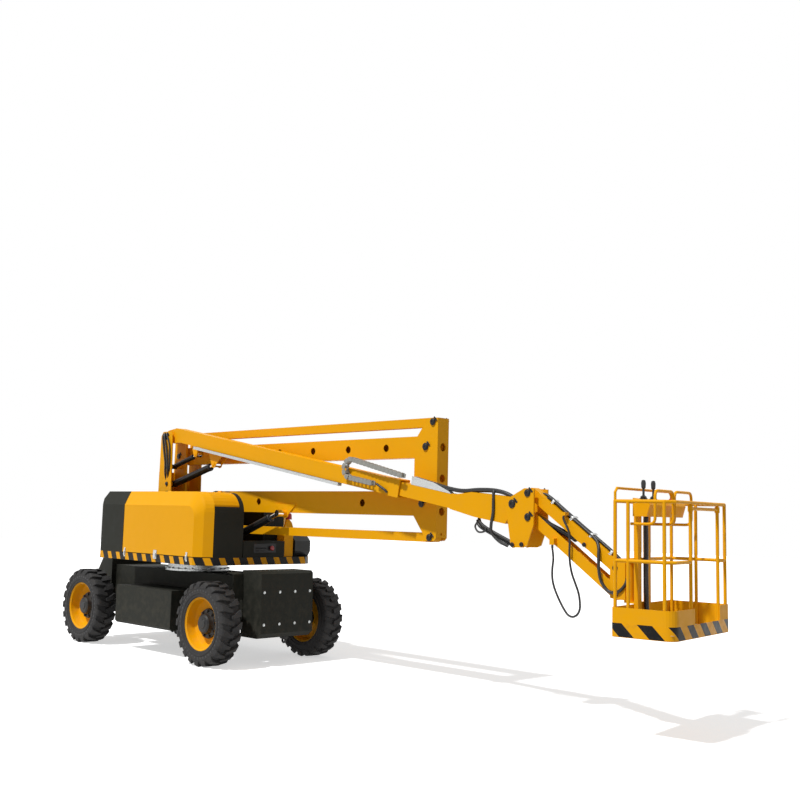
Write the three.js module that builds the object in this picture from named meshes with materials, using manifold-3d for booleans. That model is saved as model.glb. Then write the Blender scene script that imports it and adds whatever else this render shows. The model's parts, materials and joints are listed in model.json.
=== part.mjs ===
// Articulating boom lift: a narrow four-wheeled aerial platform with a double riser,
// a telescopic main boom and a parallelogram jib.
// Millimetres. +X points the way the booms lie, +Y to the left, +Z up from the ground.
// Everything is laid out from the middle of the wheelbase, then the whole machine is
// moved so that its origin lies on the ground below the centre of its outline.

import * as THREE from "three";
import { ConvexGeometry } from "three/addons/geometries/ConvexGeometry.js";
import { mergeVertices } from "three/addons/utils/BufferGeometryUtils.js";
import Module from "manifold-3d";

const wasm = await Module();
wasm.setup();

// Driving dimensions ---------------------------------------------------------------

const seatGap = 0.3; // left between two pieces that rest on each other
const pinGap = 0.6; // between a pin and its bore
const runningGap = 5; // between pieces that swing past each other

const wheelbase = 2390;
const overallWidth = 1590;
const tyreRadius = 420;
const tyreWidth = 250;
const rimRadius = 265;
const spindleRadius = 32;
const hubRadius = 95;
const kingpinInset = 200; // from the wheel's centre plane to the kingpin

const chassisTop = 880;
const chassisFloor = 500;
const chassisHalfWidth = 280;
const boxLength = 330;
const boxHalfWidth = 340;
const boxTop = 950;
const boxFloor = 280;
const sideBoxLength = 1100;
const sideBoxHalfSpan = 700;

const slewRadius = 330;
const deckBottom = 990;
const deckThickness = 80;
const deckFront = 1150;
const deckRear = -880;
const deckHalfWidth = 770;
const hoodTop = 1745;
const hoodWall = 8;
const counterweightLength = 520;
const rightHoodInner = -249;
const leftHoodInner = 330;
const leftHoodFront = 750;

const riserMiddle = 100; // the riser's plane, left of the machine's middle
const armWidth = 110;
const lowerArmHeight = 226;
const upperArmHeight = 200;
const linkWidth = 80;
const linkHeight = 84;
const lowerArmPivot = [200, 1660];
const lowerArmLength = 3249;
const lowerLinkOffset = [104, -306]; // from an arm's pin to the link's pin below it
const upperLinkOffset = [86, 226]; // from an arm's pin to the link's pin above it
const upperTipOffset = [35, 522]; // from the lower arm's pin on the end link to the upper's
const mastSetback = 674; // from the lower arm's pin back to the upper arm's pin on the mast
const endLinkWidth = 150;
const endLinkPlate = 12;

const boomMiddle = -110; // the boom's plane, right of the machine's middle
const boomPivotOffset = [26, 220]; // from the upper arm's pin on the mast
const boomSlope = -9.8; // degrees from level with the booms stowed
const boomRise = 41; // from the pivot to the tube's centreline
const boomWidth = 130;
const boomHeight = 155;
const boomWall = 7;
const boomLength = 3844;
const innerWidth = 100;
const innerHeight = 125;
const telescopeGap = 7;
const stowedReach = 716; // of the inner boom beyond the outer one, up to its nose
const noseReach = 615; // from there to the knuckle's pin
const noseRise = 103; // from the booms' centreline up to the knuckle's pin
const mastHalfWidth = 210;
const mastPlate = 12;

const jibPivotOffset = [156, 88]; // from the knuckle's main pin
const jibLinkOffset = [4, -193];
const jibLength = 968;
const jibSlope = -35.2;
const jibHeight = 90;
const jibWidth = 80;
const jibWall = 7;
const knuckleHalfWidth = 100;

const swingReach = 87; // from the jib's end pin to the swing axis
const swingRadius = 38;
const platformYaw = 6;
const platformNear = 58; // from the swing axis to the platform's face
const platformDepth = 470;
const platformRight = -410;
const platformLeft = 610;
const platformDrop = 423; // from the jib's end pin to the platform's floor
const floorDepth = 40;
const toeBoardHeight = 167;
const midRailRise = 494;
const topRailRise = 916;
const guardRailRise = 1010;
const railRadius = 13;

// Finishes -------------------------------------------------------------------------

const finish = {
  yellowPaint: { color: 0xf2a90c, roughness: 0.42, metalness: 0 },
  greyPaint: { color: 0x45433d, roughness: 0.55, metalness: 0 },
  blackPaint: { color: 0x1b1b1c, roughness: 0.5, metalness: 0 },
  rubber: { color: 0x232324, roughness: 0.85, metalness: 0 },
  chrome: { color: 0xd6d8da, roughness: 0.15, metalness: 1 },
  zinc: { color: 0xc9cbc9, roughness: 0.4, metalness: 0.9 },
  plastic: { color: 0x8f8f88, roughness: 0.7, metalness: 0 },
};

// Shapes ---------------------------------------------------------------------------

function solid(geometry) {
  const bare = geometry.clone();
  bare.deleteAttribute("normal");
  bare.deleteAttribute("uv");
  const merged = mergeVertices(bare, 0.001);
  const corners = merged.index.array;
  const faces = [];
  for (let i = 0; i < corners.length; i += 3) {
    const [a, b, c] = corners.slice(i, i + 3);
    if (a !== b && b !== c && c !== a) faces.push(a, b, c);
  }
  return new wasm.Manifold(new wasm.Mesh({
    numProp: 3,
    vertProperties: merged.getAttribute("position").array,
    triVerts: Uint32Array.from(faces),
  }));
}

function join(...pieces) {
  return pieces.reduce((whole, piece) => whole.add(piece));
}

function cut(body, ...tools) {
  return tools.reduce((whole, tool) => whole.subtract(tool), body);
}

function block(x, y, z) {
  const spans = [x, y, z];
  const size = spans.map(([low, high]) => high - low);
  const middle = spans.map(([low, high]) => (low + high) / 2);
  return solid(new THREE.BoxGeometry(...size).translate(...middle));
}

// A plate with its outline square to an axis: x takes [y, z], y takes [x, z], z takes [x, y].
function plate(axis, outline, [low, high]) {
  const shape = new THREE.Shape(outline.map(([u, v]) => new THREE.Vector2(u, v)));
  const geometry = new THREE.ExtrudeGeometry(shape, { depth: high - low, bevelEnabled: false });
  if (axis === "x") {
    const turn = new THREE.Matrix4().set(0, 0, 1, low, 1, 0, 0, 0, 0, 1, 0, 0, 0, 0, 0, 1);
    return solid(geometry.applyMatrix4(turn));
  }
  if (axis === "y") {
    return solid(geometry.rotateX(Math.PI / 2).translate(0, high, 0));
  }
  return solid(geometry.translate(0, 0, low));
}

function rod(radius, from, to, sides = 24) {
  const start = new THREE.Vector3(...from);
  const reach = new THREE.Vector3(...to).sub(start);
  const turn = new THREE.Quaternion().setFromUnitVectors(
    new THREE.Vector3(0, 1, 0),
    reach.clone().normalize(),
  );
  const geometry = new THREE.CylinderGeometry(radius, radius, reach.length(), sides);
  geometry.applyQuaternion(turn);
  const middle = start.addScaledVector(reach, 0.5);
  return solid(geometry.translate(middle.x, middle.y, middle.z));
}

function pin([x, z], radius, [right, left]) {
  return rod(radius, [x, right, z], [x, left, z]);
}

// Rods from point to point, with a ball at each inner corner.
function tubeRun(points, radius) {
  const sides = 10;
  const runs = points.slice(1).map((point, i) => rod(radius, points[i], point, sides));
  const corners = points.slice(1, -1).map(([x, y, z]) => {
    const ball = new THREE.SphereGeometry(radius * 1.02, sides, 6);
    return solid(ball.rotateX(Math.PI / 2).translate(x, y, z));
  });
  return join(...runs, ...corners);
}

function lathe(profile, sides) {
  const points = profile.map(([radius, along]) => new THREE.Vector2(radius, along));
  return new THREE.LatheGeometry(points, sides);
}

function radians(degrees) {
  return degrees * Math.PI / 180;
}

function arc([u, v], radius, from, to, steps = 8) {
  return Array.from({ length: steps + 1 }, (_, i) => {
    const angle = radians(from + (to - from) * i / steps);
    return [u + radius * Math.cos(angle), v + radius * Math.sin(angle)];
  });
}

// The outline of a bar with round ends about its two pins.
function barOutline(start, end, startRadius, endRadius = startRadius) {
  const along = THREE.MathUtils.radToDeg(Math.atan2(end[1] - start[1], end[0] - start[0]));
  return [
    ...arc(end, endRadius, along - 90, along + 90),
    ...arc(start, startRadius, along + 90, along + 270),
  ];
}

function shift([x, z], [dx, dz]) {
  return [x + dx, z + dz];
}

function between([x1, z1], [x2, z2], share) {
  return [x1 + (x2 - x1) * share, z1 + (z2 - z1) * share];
}

function distance([x1, z1], [x2, z2]) {
  return Math.hypot(x2 - x1, z2 - z1);
}

function span(middle, width) {
  return [middle - width / 2, middle + width / 2];
}

function inset([low, high], amount) {
  return [low + amount, high - amount];
}

function mirrored(side, [low, high]) {
  return side > 0 ? [low, high] : [-high, -low];
}

const lift = new THREE.Group();

function place(name, shape, look, parent = lift) {
  const { vertProperties, triVerts } = shape.getMesh();
  const geometry = new THREE.BufferGeometry();
  geometry.setAttribute("position", new THREE.BufferAttribute(vertProperties, 3));
  geometry.setIndex(new THREE.BufferAttribute(triVerts, 1));
  geometry.computeVertexNormals();
  const mesh = new THREE.Mesh(geometry, new THREE.MeshStandardMaterial(look));
  mesh.name = name;
  parent.add(mesh);
  return mesh;
}

// Wheels, knuckles and axles -------------------------------------------------------

const frontAxleX = wheelbase / 2;
const rearAxleX = -wheelbase / 2;
const wheelMiddle = (overallWidth - tyreWidth) / 2;
const kingpinY = wheelMiddle - kingpinInset;
const spindleEnd = wheelMiddle + 78;
const hubInner = -60; // from the wheel's centre plane
const beamHalf = 60;

const half = tyreWidth / 2;
const tyreProfile = [
  [rimRadius + seatGap * 3, -half + 20],
  [rimRadius + 40, -half + 3],
  [tyreRadius - 35, -half],
  [tyreRadius, -half + 22],
  [tyreRadius, half - 22],
  [tyreRadius - 35, half],
  [rimRadius + 40, half - 3],
  [rimRadius + seatGap * 3, half - 20],
  [rimRadius + seatGap * 3, -half + 20],
];

const boreRadius = spindleRadius + pinGap;
const rimProfile = [
  [0, 80],
  [boreRadius, 80],
  [boreRadius, hubInner],
  [hubRadius, hubInner],
  [hubRadius, 10],
  [rimRadius - 15, 10],
  [rimRadius - 15, -half + 20],
  [rimRadius, -half + 20],
  [rimRadius, half - 20],
  [rimRadius - 15, half - 20],
  [rimRadius - 15, 30],
  [hubRadius, 30],
  [hubRadius, 95],
  [0, 95],
];

const corners = [
  { end: "front", side: "right", x: frontAxleX, way: -1 },
  { end: "front", side: "left", x: frontAxleX, way: 1 },
  { end: "rear", side: "right", x: rearAxleX, way: -1 },
  { end: "rear", side: "left", x: rearAxleX, way: 1 },
];

for (const { end, side, x, way } of corners) {
  const wheel = new THREE.Group();
  wheel.position.set(x, way * wheelMiddle, tyreRadius);
  wheel.rotation.z = way > 0 ? 0 : Math.PI;
  lift.add(wheel);
  const quarterTurn = Math.PI / 2;
  const tyre = solid(lathe(tyreProfile, 32).rotateY(quarterTurn));
  place(`tyre_${end}_${side}`, tyre, finish.rubber, wheel);
  place(`rim_${end}_${side}`, solid(lathe(rimProfile, 32)), finish.yellowPaint, wheel);
}

const kingpinHalf = 78;
const yokePlate = 20;
const yokeReach = 45;

for (const [side, way] of [["right", -1], ["left", 1]]) {
  const kingpin = rod(
    spindleRadius,
    [frontAxleX, way * kingpinY, tyreRadius - kingpinHalf],
    [frontAxleX, way * kingpinY, tyreRadius + kingpinHalf],
  );
  const body = block(
    span(frontAxleX, 80),
    mirrored(way, [kingpinY - 20, wheelMiddle + hubInner - 20]),
    span(tyreRadius, 100),
  );
  const spindle = rod(
    spindleRadius,
    [frontAxleX, way * kingpinY, tyreRadius],
    [frontAxleX, way * spindleEnd, tyreRadius],
  );
  const steeringArm = block(
    [frontAxleX - 170, frontAxleX],
    mirrored(way, span(kingpinY, 40)),
    span(tyreRadius - 30, 20),
  );
  const knuckle = join(kingpin, body, spindle, steeringArm);
  place(`steering_knuckle_${side}`, knuckle, finish.blackPaint);
}

function yoke(way) {
  const web = [kingpinY - 90, kingpinY - 62];
  const ends = [web[0], kingpinY + yokeReach];
  const x = span(frontAxleX, 90);
  const above = tyreRadius + kingpinHalf + pinGap;
  const below = tyreRadius - kingpinHalf - pinGap;
  return join(
    block(x, mirrored(way, web), [below - yokePlate, above + yokePlate]),
    block(x, mirrored(way, ends), [above, above + yokePlate]),
    block(x, mirrored(way, ends), [below - yokePlate, below]),
  );
}

function axlePad(x) {
  return block(
    span(x, 2 * beamHalf),
    span(0, 2 * chassisHalfWidth),
    [tyreRadius, chassisFloor - seatGap],
  );
}

const frontBeamEnd = kingpinY - 65;
const frontAxle = join(
  block(span(frontAxleX, 2 * beamHalf), span(0, 2 * frontBeamEnd), span(tyreRadius, 2 * beamHalf)),
  axlePad(frontAxleX),
  yoke(1),
  yoke(-1),
);
place("front_axle", frontAxle, finish.blackPaint);

const rearBeamEnd = wheelMiddle + hubInner - 10;
const rearAxle = join(
  block(span(rearAxleX, 2 * beamHalf), span(0, 2 * rearBeamEnd), span(tyreRadius, 2 * beamHalf)),
  axlePad(rearAxleX),
  rod(spindleRadius, [rearAxleX, -spindleEnd, tyreRadius], [rearAxleX, spindleEnd, tyreRadius]),
);
place("rear_axle", rearAxle, finish.blackPaint);

// Chassis --------------------------------------------------------------------------

const chassisEnd = frontAxleX + 95;
const chassisWall = 25;
const ribHalf = 10;
const bays = [
  [-chassisEnd + chassisWall, -sideBoxLength / 2 + 100],
  [-sideBoxLength / 2 + 100 + 2 * ribHalf, sideBoxLength / 2 - 100 - 2 * ribHalf],
  [sideBoxLength / 2 - 100, chassisEnd - chassisWall],
];
const frameBlock = block(
  [-chassisEnd, chassisEnd],
  span(0, 2 * chassisHalfWidth),
  [chassisFloor, chassisTop],
);
const bayCuts = bays.map((bay) => block(
  bay,
  span(0, 2 * (chassisHalfWidth - chassisWall)),
  [chassisFloor - 10, chassisTop - 30],
));
place("chassis_frame", cut(frameBlock, ...bayCuts), finish.greyPaint);

const boxStart = chassisEnd + seatGap;
const boxEnd = boxStart + boxLength;
const frontBoxOutline = [
  [boxStart, boxFloor],
  [boxEnd - 60, boxFloor],
  [boxEnd, boxFloor + 50],
  [boxEnd - 14, boxTop - 25],
  [boxEnd - 40, boxTop],
  [boxStart, boxTop],
];
const rearBoxOutline = [
  [-boxStart, boxFloor + 40],
  [-boxEnd + 40, boxFloor + 40],
  [-boxEnd, boxFloor + 90],
  [-boxEnd, boxTop - 160],
  [-boxEnd + 110, boxTop],
  [-boxStart, boxTop],
];
const boxSpan = span(0, 2 * boxHalfWidth);
place("front_box", plate("y", frontBoxOutline, boxSpan), finish.greyPaint);
place("rear_box", plate("y", rearBoxOutline, boxSpan), finish.greyPaint);

const sideBoxTop = 700;
const sideBoxFloor = 285;
for (const [side, way] of [["right", -1], ["left", 1]]) {
  const outline = [
    [way * (chassisHalfWidth + seatGap), sideBoxFloor],
    [way * (sideBoxHalfSpan - 25), sideBoxFloor],
    [way * sideBoxHalfSpan, sideBoxFloor + 25],
    [way * sideBoxHalfSpan, sideBoxTop],
    [way * (chassisHalfWidth + seatGap), sideBoxTop],
  ];
  place(`side_box_${side}`, plate("x", outline, span(0, sideBoxLength)), finish.greyPaint);
}

const slewRing = rod(
  slewRadius,
  [0, 0, chassisTop + seatGap],
  [0, 0, deckBottom - pinGap],
  40,
);
place("slew_ring", slewRing, finish.zinc);

// Turntable ------------------------------------------------------------------------

const deckTop = deckBottom + deckThickness;
const onDeck = deckTop + seatGap;

function deckOutline(gap) {
  const side = deckHalfWidth - gap;
  const front = deckFront - gap;
  const rear = deckRear + gap;
  const facets = [
    [front, -side + 153],
    [front - 60, -side + 60],
    [front - 150, -side],
    [rear + 50, -side],
    [rear, -side + 50],
  ];
  return [...facets, ...facets.map(([x, y]) => [x, -y]).reverse()];
}

const deckPlate = 25;
const pocket = plate("z", deckOutline(deckPlate), [deckBottom - 10, deckTop - deckPlate]);
const deckRib = (y) => block(
  [deckRear + 10, deckFront - 10],
  span(y, deckPlate),
  [deckBottom, deckTop - 10],
);
const hubDisc = rod(slewRadius + 20, [0, 0, deckBottom], [0, 0, deckTop - 10], 40);
const deck = join(
  cut(plate("z", deckOutline(0), [deckBottom, deckTop]), pocket),
  hubDisc,
  deckRib(-215),
  deckRib(215),
);
place("turntable_deck", deck, finish.greyPaint);

// The cross-section of the bodywork on one side, seen from the front.
function sideProfile(way, inner, gap) {
  const side = deckHalfWidth - gap;
  const top = hoodTop - gap;
  return [
    [way * inner, deckTop - 20],
    [way * side, deckTop - 20],
    [way * side, top - 150],
    [way * (side - 75), top],
    [way * inner, top],
  ];
}

const counterweightFront = deckRear + counterweightLength;
const mastBay = [-mastHalfWidth - 35, mastHalfWidth + 35];
const rearCorner = 50;
const counterweightPlan = [
  [deckRear, -deckHalfWidth + rearCorner],
  [deckRear + rearCorner, -deckHalfWidth],
  [counterweightFront, -deckHalfWidth],
  [counterweightFront, deckHalfWidth],
  [deckRear + rearCorner, deckHalfWidth],
  [deckRear, deckHalfWidth - rearCorner],
];
const rearProfile = [
  [deckRear, deckTop],
  [counterweightFront, deckTop],
  [counterweightFront, hoodTop],
  [deckRear + 60, hoodTop],
  [deckRear, hoodTop - 120],
];
const bothSides = [-1, 1].map((way) => plate(
  "x",
  sideProfile(way, -10, 0),
  [deckRear - 10, counterweightFront + 10],
));
const counterweight = cut(
  plate("z", counterweightPlan, [onDeck, hoodTop])
    .intersect(join(...bothSides))
    .intersect(plate("y", rearProfile, span(0, 2 * deckHalfWidth + 20))),
  block([deckRear - 10, counterweightFront + 10], mastBay, [1600, hoodTop + 10]),
);
place("counterweight", counterweight, finish.greyPaint);

// One side's bodywork as a filled form, drawn round its outlines from the side panel
// inwards; gap makes the smaller form that hollows it.
function hoodForm(way, inner, front, gap) {
  const rear = counterweightFront + seatGap + (gap ? -20 : 0);
  const floor = gap ? deckTop - 15 : onDeck;
  const side = deckHalfWidth - gap;
  const outlines = [
    { y: side, back: 150, down: 150, round: 120 },
    { y: side - 60, back: 60, down: 30, round: 200 },
    { y: side - 75, back: 50, down: 0, round: 210 },
    { y: side - 153, back: 0, down: 0, round: 210 },
    { y: gap ? inner + hoodWall : inner, back: 0, down: 0, round: 210 },
  ];
  const points = outlines.flatMap(({ y, back, down, round }) => {
    const end = front - gap - back;
    const top = hoodTop - gap - down;
    const corner = arc([end - round, top - round], round, 0, 90);
    const outline = [[rear, floor], [end, floor], ...corner, [rear, top]];
    return outline.map(([x, z]) => new THREE.Vector3(x, way * y, z));
  });
  return solid(new ConvexGeometry(points));
}

const hingeInset = 52; // from the bay's wall to the door's hinge
const hingeRise = 10;
const hingeRadius = 9;
const barrelLength = 60;

function hoodParts(way, inner, front) {
  const shell = cut(hoodForm(way, inner, front, 0), hoodForm(way, inner, front, hoodWall));
  const hingeY = inner + hingeInset;
  const cheek = deckHalfWidth - 153;
  const wallSide = mirrored(way, [inner - 10, hingeY - runningGap / 2]);
  const fixedZone = join(
    block([-2000, 2000], wallSide, [0, 3000]),
    block([front - hoodWall - 1, 2000], mirrored(way, [inner - 10, cheek]), [0, 3000]),
  );
  const doorZone = join(
    block([-2000, front - hoodWall - 6], mirrored(way, [hingeY + runningGap / 2, 2000]), [0, 3000]),
    block([-2000, 2000], mirrored(way, [cheek + runningGap, 2000]), [0, 3000]),
  );
  const lowerEdge = block([-2000, 2000], [-2000, 2000], [0, deckTop + runningGap + 1]);
  const rearEdge = block([-2000, counterweightFront + runningGap + 3], [-2000, 2000], [0, 3000]);
  let fixed = shell.intersect(fixedZone);
  let door = cut(shell.intersect(doorZone), lowerEdge, rearEdge);
  const doorEnd = front - 300;
  for (const x of [counterweightFront + 90, doorEnd - 160]) {
    fixed = fixed.add(hingeHalf(way, hingeY, x, -1));
    door = door.add(hingeHalf(way, hingeY, x + barrelLength + pinGap, 1));
  }
  return [fixed, door];
}

function hingeHalf(way, hingeY, x, outward) {
  const z = hoodTop + hingeRise;
  const leafReach = outward > 0 ? [hingeY, hingeY + 26] : [hingeY - 26, hingeY];
  return join(
    rod(hingeRadius, [x, way * hingeY, z], [x + barrelLength, way * hingeY, z], 16),
    block([x, x + barrelLength], mirrored(way, leafReach), [hoodTop - 3, hoodTop + 6]),
  );
}

const [rightHood, rightDoor] = hoodParts(-1, -rightHoodInner, deckFront);
place("hood_right", rightHood, finish.greyPaint);
place("hood_door_right", rightDoor, finish.yellowPaint);
const [leftHood, leftDoor] = hoodParts(1, leftHoodInner, leftHoodFront);
place("hood_left", leftHood, finish.greyPaint);
place("hood_door_left", leftDoor, finish.yellowPaint);

const batteryPack = block([-250, 800], [-690, -330], [onDeck, 1480]);
place("battery_pack", batteryPack, finish.blackPaint);
const pumpUnit = block([-250, 560], [400, 690], [onDeck, 1420]);
place("pump_unit", pumpUnit, finish.blackPaint);

const cabinetOutline = [
  [leftHoodFront + 50, onDeck],
  [deckFront - 60, onDeck],
  [deckFront - 20, onDeck + 60],
  [deckFront - 20, 1240],
  [deckFront - 120, 1330],
  [leftHoodFront + 50, 1330],
];
place("oil_tank", plate("y", cabinetOutline, [480, 700]), finish.blackPaint);

const controlBox = block([deckFront - 150, deckFront - 8], [-235, 320], [onDeck, 1240]);
place("ground_control_box", controlBox, finish.greyPaint);

const lampPost = join(
  block([deckFront - 60, deckFront - 40], [338, 465], [onDeck, 1385]),
  block([deckFront - 160, deckFront - 40], [338, 346], [onDeck, 1385]),
  plate("x", [[338, 1380], [465, 1380], [440, 1440], [400, 1480], [370, 1480]],
    [deckFront - 60, deckFront - 40]),
);
place("lamp_post", lampPost, finish.yellowPaint);

// Riser tower and arms ----------------------------------------------------------------

const lowerLinkPivot = shift(lowerArmPivot, lowerLinkOffset);
const lowerArmTip = shift(lowerArmPivot, [lowerArmLength, 0]);
const lowerLinkTip = shift(lowerArmTip, lowerLinkOffset);
const upperArmTip = shift(lowerArmTip, upperTipOffset);
const upperLinkTip = shift(upperArmTip, upperLinkOffset);
const upperArmHead = [lowerArmPivot[0] - mastSetback, upperArmTip[1]];
const upperLinkHead = shift(upperArmHead, upperLinkOffset);

const riserSpan = span(riserMiddle, armWidth);
const linkSpan = span(riserMiddle, linkWidth);
const mainPin = 28;
const smallPin = 20;
const towerOuter = [10, 190];
const towerPlate = 14;
const riserRamBase = [350, 1132];
const riserRamEye = [1480, 1541];
const riserRamMiddle = -46;
const riserRamWidth = 64;
const riserRamRadius = 42;

const towerOutline = [
  [60, onDeck],
  [470, onDeck],
  [430, 1300],
  ...arc(lowerLinkPivot, 60, -30, 50, 4),
  ...arc(lowerArmPivot, 95, 20, 180, 10),
  [60, 1500],
];
const riserRamLug = [
  [290, onDeck],
  [410, onDeck],
  ...arc(riserRamBase, 45, 0, 180),
];
const towerNear = [towerOuter[0], towerOuter[0] + towerPlate];
const towerFar = [towerOuter[1] - towerPlate, towerOuter[1]];
const lugNear = [riserRamMiddle - riserRamRadius - 20, riserRamMiddle - riserRamRadius - 6];
const tower = join(
  plate("y", towerOutline, towerNear),
  plate("y", towerOutline, towerFar),
  block([60, 470], [lugNear[0], towerOuter[1]], [onDeck, deckTop + 12]),
  plate("y", riserRamLug, lugNear),
  pin(lowerArmPivot, mainPin, towerOuter),
  pin(lowerLinkPivot, smallPin, towerOuter),
  pin(riserRamBase, smallPin, [lugNear[0], towerOuter[0] + 1]),
);
place("riser_tower", tower, finish.yellowPaint);

function bored(body, radius, points, width) {
  return cut(body, ...points.map((point) => pin(point, radius + pinGap, inset(width, -5))));
}

// A box-section arm: two side plates, top and bottom plates, open where the holes are.
function boxArm(start, end, height, width, wall, holes, holeRadius) {
  const along = distance(start, end);
  const endBlock = height / 2 + 20;
  const outer = plate("y", barOutline(start, end, height / 2), width);
  const cavity = plate(
    "y",
    barOutline(
      between(start, end, endBlock / along + 0.03),
      between(start, end, 1 - endBlock / along - 0.03),
      height / 2 - wall,
    ),
    inset(width, wall),
  );
  const cuts = holes.map((point) => pin(point, holeRadius, inset(width, -5)));
  return cut(outer, cavity, ...cuts);
}

const lowerArmHoles = [0.25, 0.75].map((share) => between(lowerArmPivot, lowerArmTip, share));
const ramLugWidth = [riserSpan[0] - 12, riserSpan[0] + 1];
const lowerArm = join(
  bored(
    boxArm(lowerArmPivot, lowerArmTip, lowerArmHeight, riserSpan, 8, lowerArmHoles, 36),
    mainPin,
    [lowerArmPivot, lowerArmTip],
    riserSpan,
  ),
  plate("y", [
    ...arc(riserRamEye, 48, 200, 340),
    shift(riserRamEye, [170, 100]),
    shift(riserRamEye, [-170, 100]),
  ], ramLugWidth),
  pin(riserRamEye, smallPin + 10, [riserRamMiddle + riserRamWidth / 2 + pinGap, riserSpan[0] + 1]),
);
place("lower_arm", lowerArm, finish.yellowPaint);

// A link is a channel, open along its underside.
function channelLink(start, end, width, height, wall) {
  const bar = plate("y", barOutline(start, end, height / 2), width);
  const along = distance(start, end);
  const [first, last] = [80 / along, 1 - 80 / along].map((share) => between(start, end, share));
  const trough = plate("y", [
    [first[0], first[1] - height],
    [last[0], last[1] - height],
    [last[0], last[1] + height / 2 - wall],
    [first[0], first[1] + height / 2 - wall],
  ], inset(width, wall));
  return bored(cut(bar, trough), smallPin, [start, end], width);
}

const bottomLink = channelLink(lowerLinkPivot, lowerLinkTip, linkSpan, linkHeight, 7);
place("bottom_link", bottomLink, finish.yellowPaint);

const endLinkOuter = span(riserMiddle, endLinkWidth);
const endLinkFront = lowerLinkTip[0] + 77;
const endLinkTop = upperLinkTip[1] + 36;
const endLinkBottom = lowerLinkTip[1] - 28;
const endLinkOutline = [
  [endLinkFront, endLinkBottom + 25],
  [endLinkFront, endLinkTop],
  [upperLinkTip[0] - 60, endLinkTop],
  [upperLinkTip[0] - 150, upperLinkTip[1] - 70],
  [upperArmTip[0] - 140, upperArmTip[1] + 60],
  [upperArmTip[0] - 140, lowerArmTip[1] - 110],
  [lowerLinkTip[0] - 90, lowerLinkTip[1] + 40],
  [lowerLinkTip[0] - 60, endLinkBottom],
  [endLinkFront - 25, endLinkBottom],
];
const frontHoles = [
  [2175, 38],
  [1890, 38],
  [1590, 38],
  [1385, 12],
];
const endLinkWeb = cut(
  block([endLinkFront - endLinkPlate, endLinkFront], endLinkOuter, [endLinkBottom + 25, endLinkTop]),
  ...frontHoles.map(([z, radius]) => rod(
    radius,
    [endLinkFront - 50, riserMiddle, z],
    [endLinkFront + 50, riserMiddle, z],
  )),
);
const endLink = join(
  plate("y", endLinkOutline, [endLinkOuter[0], endLinkOuter[0] + endLinkPlate]),
  plate("y", endLinkOutline, [endLinkOuter[1] - endLinkPlate, endLinkOuter[1]]),
  endLinkWeb,
  pin(lowerArmTip, mainPin, inset(endLinkOuter, -6)),
  pin(upperArmTip, mainPin, inset(endLinkOuter, -6)),
  pin(lowerLinkTip, smallPin, inset(endLinkOuter, -6)),
  pin(upperLinkTip, smallPin, inset(endLinkOuter, -6)),
);
place("end_link", endLink, finish.yellowPaint);

const upperArmHoles = [1339, 1882, 2414, 2947].map((x) => [x, upperArmTip[1]]);
const upperArm = bored(
  boxArm(upperArmHead, upperArmTip, upperArmHeight, riserSpan, 8, upperArmHoles, 36),
  mainPin,
  [upperArmHead, upperArmTip],
  riserSpan,
);
place("upper_arm", upperArm, finish.yellowPaint);

const topLink = channelLink(upperLinkHead, upperLinkTip, linkSpan, linkHeight, 7);
place("top_link", topLink, finish.yellowPaint);

// Mast -------------------------------------------------------------------------------

const boomPivot = shift(upperArmHead, boomPivotOffset);
const levelRamBase = shift(boomPivot, [21, -350]);
const boomRamBase = shift(boomPivot, [50, -552]);
const mastRear = upperArmHead[0] - 96;
const mastFront = upperArmHead[0] + 164;
const mastTop = boomPivot[1] + 58;
const mastBottom = boomRamBase[1] - 135;
const ramMiddle = boomMiddle + 5;
const ramWidth = 60;

const mastOutline = [
  [mastRear, mastBottom],
  [mastFront, mastBottom],
  [mastFront - 20, mastTop - 40],
  [mastFront - 60, mastTop],
  [mastRear + 50, mastTop],
  [mastRear + 10, mastTop - 50],
];
const mastPlates = [
  [-mastHalfWidth, -mastHalfWidth + mastPlate],
  [-mastPlate, mastPlate],
  [mastHalfWidth - mastPlate, mastHalfWidth],
];
const boomBay = [-mastHalfWidth, 0];
const riserBay = [0, mastHalfWidth];
const mast = join(
  ...mastPlates.map((width) => plate("y", mastOutline, width)),
  block([mastRear, mastFront], boomBay, [mastBottom, mastBottom + 15]),
  block([mastRear, mastRear + 150], riserBay, [mastBottom, mastBottom + 15]),
  block([mastRear, mastRear + 10], [-mastHalfWidth, mastHalfWidth], [mastBottom, 1990]),
  pin(boomPivot, mainPin, boomBay),
  pin(levelRamBase, smallPin, boomBay),
  pin(boomRamBase, smallPin, boomBay),
  pin(upperArmHead, mainPin, riserBay),
  pin(upperLinkHead, smallPin, riserBay),
);
place("mast", mast, finish.yellowPaint);

// Main boom --------------------------------------------------------------------------

const boomCosine = Math.cos(radians(boomSlope));
const boomSine = Math.sin(radians(boomSlope));

// A point at a distance along the boom from its pivot and a height over the pivot's line.
function onBoom(along, height) {
  return [
    boomPivot[0] + along * boomCosine - height * boomSine,
    boomPivot[1] + along * boomSine + height * boomCosine,
  ];
}

function boomBar([start, end], [low, high], width) {
  const outline = [onBoom(start, low), onBoom(end, low), onBoom(end, high), onBoom(start, high)];
  return plate("y", outline, width);
}

const boomSpan = span(boomMiddle, boomWidth);
const boomLow = boomRise - boomHeight / 2;
const boomHigh = boomRise + boomHeight / 2;
const tubeStart = 215;
const levelRamEye = onBoom(537, -126);
const boomRamEye = onBoom(916, -181);

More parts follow.
